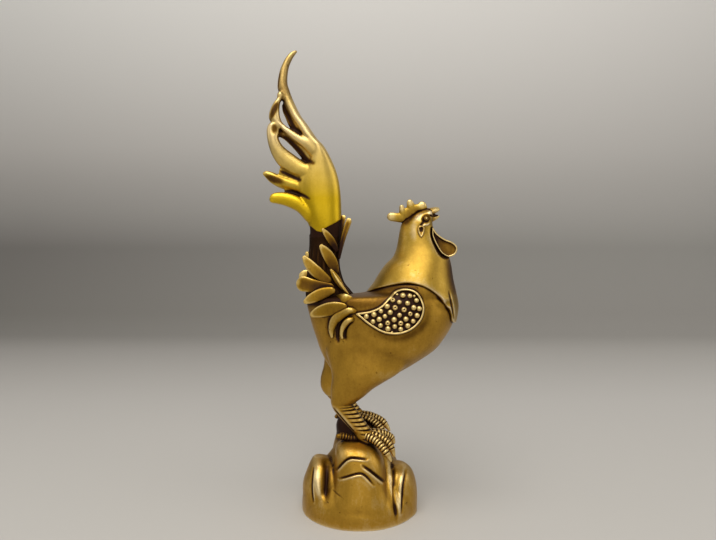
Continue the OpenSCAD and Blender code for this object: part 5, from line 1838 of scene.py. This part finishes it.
@dataclass
class Leaves:
    """The pads of the tail, overlapping like leaves round the stem."""

    thick: float = 2.4
    tail: tuple = (
        (.59, .05, .18, .43, .02, .1, .5, .46), (.38, .75, -.07, 1.17, -.08, .11, .36, .5),
        (.36, .33, -.13, .87, -.12, .17, .42, .56), (.2, .2, -.64, .67, .14, .175, .5, .5),
        (.29, .1, -.85, .19, .08, .23, .54, .46), (.33, .05, -.62, -.19, -.08, .175, .62, .58),
        (.7, -.25, -.42, -.42, -.1, .2, .98, .58), (.74, -.04, .25, .375, .04, .05, .6, .52),
    )
    crest: tuple = (
        (-.096, .82, .094, 1.45, .05, .08, 0), (-.066, .62, .274, 1.38, .06, .085, -.2),
        (-.066, .62, .274, 1.38, .06, .085, .2),
    )
    taper: Row = (.5, .82, 1, .97, .76, .34)
    blunt: Row = (.42, .6, .75, .88, 1, .95)
    thins: Row = (.7, .95, 1, .95, .8, .6)
    dishes: Row = (.15, .3, .35, .35, .4, .05, .2, .05)
    far: Row = (0, 0, 0, .1, .15, 0, 0, 0)
    shades: Row = (.15, .6, .4, .15, .1, .2, .05, .15)
    blunt_one: int = 4
    rings: int = 64
    sides: int = 48

    def leaf(self, root: Array, tip: Array, bow: float, half: float, dish: float,
             shade: float, blunt: bool = False) -> Form:
        """A leaf on the curve (1-t)^2 a + 2t(1-t) m + t^2 b, m bowed aside.

        Its trough darkens with dish (1 - x^2), and more so on a blunt one; its
        root is darker than its tip by the shade.

        Args:
            root: where it starts.
            tip: where it ends.
            bow: how far its middle lies aside, as a share of its length.
            half: its largest half width.
            dish: how hollow its outer face is.
            shade: how dark its root is.
            blunt: whether it is widest near its tip.

        Returns:
            The closed leaf.
        """
        span = tip - root
        middle = (root + tip) / 2 + bow * np.array([-span[2], 0, span[0]])
        wide = tuple(v * half for v in (self.blunt if blunt else self.taper))
        thick = tuple(v * self.thick / 2 for v in self.thins)
        form = rod(bent(root, middle, tip, 7), wide, thick, oval(self.sides, 2.5, dish),
                   self.rings)
        end = np.linalg.norm(form.points - tip, axis=1)
        form.rubbed = (1 if blunt else .5) * step(-end, -3.2, -.4)
        x, up = circle(self.sides).T
        trough = (.25 * blunt + .25 * dish) * (1 - x ** 2) * step(up, 0, .5)
        form.cut = spread(np.tile(trough, (self.rings, 1)), self.sides) * (1 - form.rubbed)
        form.cut += shade * step(end / np.linalg.norm(span), .1, .95)
        return form

    def at(self, start: float, x: float, y: float, z: float) -> Array:
        """A place on the right from its shares of the stem, x counted from start."""
        p = PLAN
        return np.array([start + x * p.stem_d, -y * p.stem_d, p.saddle_z + z * p.stem_h])

    def pieces(self) -> list[Piece]:
        """Eight leaves on each side, two reaching higher on the left, and three ahead."""
        p, out = PLAN, []
        for i, (x0, z0, x1, z1, bow, half, y0, y1) in enumerate(self.tail):
            root, tip = self.at(p.stem_x, x0, y0, z0), self.at(p.stem_x, x1, y1, z1)
            for side in Side:
                lift = self.far[i] * p.stem_h * (side is Side.LEFT)
                form = self.leaf(root, tip + [0, 0, lift], bow, half * p.stem_d,
                                 self.dishes[i], self.shades[i], i == self.blunt_one)
                out.append(paired(side, f"leaf_{i + 1}", form, LEAF, "leaves",
                                  f"tail_leaf_{i + 1}"))
        ahead = p.stem_x + Plume.blades[0][0][2] * p.plume_h
        for i, (x0, z0, x1, z1, bow, half, y) in enumerate(self.crest):
            form = self.leaf(self.at(ahead, x0, y, z0), self.at(ahead, x1, y, z1), bow,
                             half * p.stem_d, .3, .6, True)
            out.append(Piece(f"crest_leaf_{i + 1}", form, LEAF, "leaves",
                             (f"tail_front_leaf_{i + 1}",)))
        return out


# Light and place


@dataclass
class Studio:
    """A pale floor and backdrop whose colour paints the fall of the light, soft lamps and the
    camera.
    """

    half: float = 4.0
    back: float = .75
    bend: float = .35
    top: float = 3.0
    rough: float = .8
    aim: Triple = (0, 0, .12)
    lights: tuple = (("overhead", (-.1, -.5, 1), .9, 9), ("front", (0, -1.4, .5), 1.3, 3.8),
                     ("right", (1.1, -.3, .6), .8, 2.7), ("left", (-1.1, -.3, .6), .8, 1.4))
    light_colour: Colour = (1, .97, .93)
    world_colour: Colour = (1, .98, .96)
    world_power: float = .35
    eye: Triple = (-.00074, -.297, .1245)
    film: float = 36
    focal_share: float = 561 / 716
    left_paper_light_falloff: tuple = ((0.0, (.485, .47, .44)), (.12, (.43, .415, .39)),
                         (.29, (.36, .345, .325)), (.45, (.23, .22, .2)), (.56, (.215, .205, .19)),
                         (.69, (.6, .58, .55)), (.88, (1, .99, .95)))
    right_paper_light_falloff: tuple = ((0.0, (.51, .495, .465)), (.12, (.54, .525, .5)),
                          (.29, (.48, .465, .435)), (.45, (.37, .355, .33)),
                          (.56, (.36, .35, .325)), (.69, (.65, .63, .6)), (.88, (1, .98, .94)))

    def build(self) -> None:
        """Makes the stage, the lamps, the world and the camera."""
        self.floor()
        self.lamps()
        self.camera()

    def floor(self) -> None:
        """A floor that curves up into a backdrop: a profile carried along X.

        The paper's colour is painted with the fall of the light: it follows the length run along the
        profile, darkest in the bend, and the bend is paler towards the right.
        """
        turn = np.linspace(0, math.pi / 2, 24)
        profile = np.concatenate([[[-self.half, 0]],
                                  np.stack([self.back + self.bend * np.sin(turn),
                                            self.bend * (1 - np.cos(turn))], 1),
                                  [[self.back + self.bend, self.top]]])
        n = len(profile)
        x = np.repeat([-self.half, self.half], n)
        a = np.arange(n - 1)
        form = Form(np.column_stack([x, np.tile(profile, (2, 1))]),
                    np.stack([a, a + n, a + n + 1, a + 1], 1))
        w = Wiring("studio_paper")
        along = w.span(w.attribute("run"), 4.0, 6.0)
        w.feed(w.shader.inputs["Base Color"], w.mixed(
            w.span(w.attribute("across"), -.8, .8),
            w.ramp(along, self.left_paper_light_falloff), w.ramp(along, self.right_paper_light_falloff)))
        w.shader.inputs["Roughness"].default_value = self.rough
        paper = finished(form, "studio_paper", 1, w.material,
                         run=np.tile(run_along(profile), 2), across=x)

    def lamps(self) -> None:
        """Square soft lamps turned towards one aim, and a grey world.

        One is broad and overhead, one in front and one at each side.
        """
        for name, place, size, power in self.lights:
            data = bpy.data.lights.new(name, "AREA")
            data.size, data.energy, data.color = size, power, self.light_colour
            lamp = linked(name, data)
            lamp.location = place
            way = Vector(np.array(self.aim) - np.array(place))
            lamp.rotation_euler = way.to_track_quat("-Z", "Y").to_euler()
        world = bpy.data.worlds.new("studio")
        world.use_nodes = True
        sky = world.node_tree.nodes["Background"].inputs
        sky["Color"].default_value = (*self.world_colour, 1)
        sky["Strength"].default_value = self.world_power
        bpy.context.scene.world = world

    def camera(self) -> None:
        """The photograph's viewpoint: level, 297 mm in front, 124.5 mm up."""
        data = bpy.data.cameras.new("camera")
        data.sensor_width, data.lens = self.film, self.film * self.focal_share
        data.clip_start = .01
        camera = linked("camera", data)
        camera.location = self.eye
        camera.rotation_euler = (math.pi / 2, 0, 0)
        bpy.context.scene.camera = camera


# Patina and painted shade


@dataclass
class Patina:
    """How sheltered each place is among all the castings, at three reaches.

    A solid's indicator has the gradient -N on its surface, so its Laplacian is the
    divergence of the area vectors, spread over a grid of cells. In Fourier terms the
    indicator is i k . V / k^2. Clipped to 1 it is the union of every casting, so
    what lies buried counts for nothing. Blurred by a reach and read at 0.8 of it in
    front of a surface, it is 0.21 on a flat one, more in a recess, less on an edge.
    """

    # The shelter darkens hollows as patina and paints shade into creases and where the castings
    # crowd each other.
    cell: float = .6
    most: int = 60
    room: float = 9
    reaches: Row = (.8, 2.0, 6.0)
    lead: float = .8
    hidden: tuple = ((.8, .27, .6), (.75, .26, .55), (.45, .25, .6))
    proud: tuple = ((1, -.19, -.08), (.4, -.18, -.05))

    def samples(self, pieces: list[Piece]) -> tuple[Array, Array]:
        """Places spread over every surface, and the area vector at each.

        A triangle longer than a cell is cut into n x n smaller ones.

        Args:
            pieces: all the castings.

        Returns:
            Places and area vectors, both of shape (n, 3).
        """
        tri = np.concatenate([piece.form.points[piece.form.triangles()] for piece in pieces])
        area = np.cross(tri[:, 1] - tri[:, 0], tri[:, 2] - tri[:, 0]) / 2
        longest = np.linalg.norm(tri - np.roll(tri, 1, 1), axis=2).max(1)
        parts = np.clip(np.ceil(longest / (1.1 * self.cell)), 1, self.most).astype(int)
        places, vectors = [], []
        for n in np.unique(parts):
            which = parts == n
            i, j = (v.ravel() for v in np.meshgrid(np.arange(n), np.arange(n)))
            up, down = i + j < n, i + j < n - 1
            uv = np.concatenate([np.stack([i[up], j[up]], 1) + 1 / 3,
                                 np.stack([i[down], j[down]], 1) + 2 / 3]) / n
            weights = np.concatenate([1 - uv.sum(1, keepdims=True), uv], 1)
            places.append(np.einsum("sk,tkd->tsd", weights, tri[which]).reshape(-1, 3))
            vectors.append(np.repeat(area[which] / n ** 2, n * n, axis=0))
        return np.concatenate(places), np.concatenate(vectors)

    @staticmethod
    def corners(p: Array, shape: tuple[int, ...]) -> tuple[Array, Array]:
        """The eight cells round each place, and the place's share in each.

        Args:
            p: places of shape (n, 3), counted in cells.
            shape: the grid's.

        Returns:
            Cell numbers of shape (8 n,) and shares of shape (n, 8).
        """
        low = np.floor(p).astype(int)
        f = p - low
        bits = np.array([[i, j, k] for i in (0, 1) for j in (0, 1) for k in (0, 1)])
        share = np.prod(np.where(bits[None], f[:, None], 1 - f[:, None]), -1)
        return np.ravel_multi_index((low[:, None] + bits[None]).reshape(-1, 3).T, shape), share

    def shelter(self, pieces: list[Piece], points: Array, normals: Array) -> list[Array]:
        """The blurred solid in front of each point.

        Args:
            pieces: all the castings.
            points: where it is read.
            normals: which way is out there.

        Returns:
            For each reach, a share from 0 to 1 at each point.
        """
        places, vectors = self.samples(pieces)
        low = places.min(0) - self.room
        shape = tuple(np.ceil((places.max(0) + self.room - low) / self.cell).astype(int) + 2)
        cells, share = self.corners((places - low) / self.cell, shape)
        waves = np.meshgrid(*(np.fft.fftfreq(n, self.cell) * 2 * math.pi for n in shape[:2]),
                            np.fft.rfftfreq(shape[2], self.cell) * 2 * math.pi,
                            indexing="ij", sparse=True)
        square = sum(k * k for k in waves)
        square[0, 0, 0] = 1
        total = 0
        for k, v in zip(waves, vectors.T):
            cube = np.bincount(cells, (share * v[:, None]).ravel(), np.prod(shape))
            total = total + 1j * k * np.fft.rfftn(cube.reshape(shape) / self.cell ** 3)
        total *= np.exp(-square * (.6 * self.cell) ** 2 / 2) / square
        solid = np.fft.irfftn(total, shape)
        solid = np.fft.rfftn(np.clip(solid - np.median(solid[:3]), 0, 1))
        out = []
        for reach in self.reaches:
            blurred = np.fft.irfftn(solid * np.exp(-square * reach ** 2 / 2), shape).ravel()
            cells, share = self.corners((points + self.lead * reach * normals - low) / self.cell,
                                        shape)
            out.append((blurred[cells].reshape(-1, 8) * share).sum(1))
        return out

    def masks(self, pieces: list[Piece]) -> list[tuple[Array, Array]]:
        """The recess and the wear and highlight masks of each piece, from 0 to 1.

        Each adds up S-curves of the shelter, as (weight, low, high), and the piece's own mask: the
        recess for patina and painted shade, the other for wear and painted highlights. A masked
        piece takes only its own.

        Args:
            pieces: all the castings.

        Returns:
            A pair of masks for each piece.
        """
        forms = [piece.form for piece in pieces]
        depths = self.shelter(pieces, np.vstack([form.points for form in forms]),
                              np.vstack([form.facing() for form in forms]))
        cut = np.concatenate([form.cut for form in forms])
        rub = np.concatenate([form.rubbed for form in forms])
        recess = np.clip(sum(weight * step(depth, low, high) for depth, (weight, low, high)
                             in zip(depths, self.hidden)) + cut, 0, 1)
        rubbed = np.clip(sum(weight * step(-depth, low, high) for depth, (weight, low, high)
                             in zip(depths, self.proud)) + rub, 0, 1)
        rubbed *= 1 - np.clip(cut, 0, 1)
        sizes = [len(form.points) for form in forms]
        own = np.repeat([piece.masked for piece in pieces], sizes)
        ends = np.cumsum(sizes)[:-1]
        return list(zip(np.split(np.where(own, cut, recess), ends),
                        np.split(np.where(own, rub, rubbed), ends)))


def finished(form: Form, name: str, scale: float, material: bpy.types.Material,
             **values: Array) -> bpy.types.Object:
    """A form as a smooth object in the scene.

    Args:
        form: the form.
        name: the object's name and its mesh's.
        scale: what turns the form's lengths into metres.
        material: the only one it takes.
        values: numbers on its points that the material reads, by name.

    Returns:
        The object.
    """
    mesh = to_mesh(form, name, scale)
    for word, numbers in values.items():
        layer = mesh.attributes.new(word, "FLOAT", "POINT")
        layer.data.foreach_set("value", numbers.astype(np.float32))
    mesh.polygons.foreach_set("use_smooth", np.ones(len(mesh.polygons), bool))
    mesh.materials.append(material)
    return linked(name, mesh)


def dress(pieces: list[Piece]) -> None:
    """Makes each piece's object, with its masks, finish, body and nodes."""
    finishes: dict[str, bpy.types.Material] = {}
    for piece, (recess, rubbed) in zip(pieces, Patina().masks(pieces)):
        if piece.finish.name not in finishes:
            finishes[piece.finish.name] = piece.finish.material()
        obj = finished(piece.form, piece.name, MM, finishes[piece.finish.name],
                       recess=recess, rubbed=rubbed)
        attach(obj, "root")
        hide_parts(*piece.nodes)
        LOG.info("%s: %d faces", piece.name, len(obj.data.polygons))


def main() -> None:
    """Builds every casting, then the studio."""
    logging.basicConfig(level=logging.INFO, format="%(message)s")
    trunk = Trunk()
    neck = Neck().pieces()
    pieces = Rock().pieces() + trunk.pieces() + neck + Comb().pieces() + Beaks().pieces()
    for side in Side:
        pieces += Leg(side).pieces() + Eye(side, neck[0].form).pieces()
        pieces += EarLobe(side, neck[0].form).pieces() + Wattle(side).pieces()
        pieces += Wing(side, trunk).pieces() + Feathers(side, trunk).pieces()
    pieces += Stem().pieces() + Plume().pieces() + Leaves().pieces()
    dress(pieces)
    Studio().build()
    bpy.context.scene.view_settings.view_transform = "Standard"


if __name__ == "__main__":
    main()
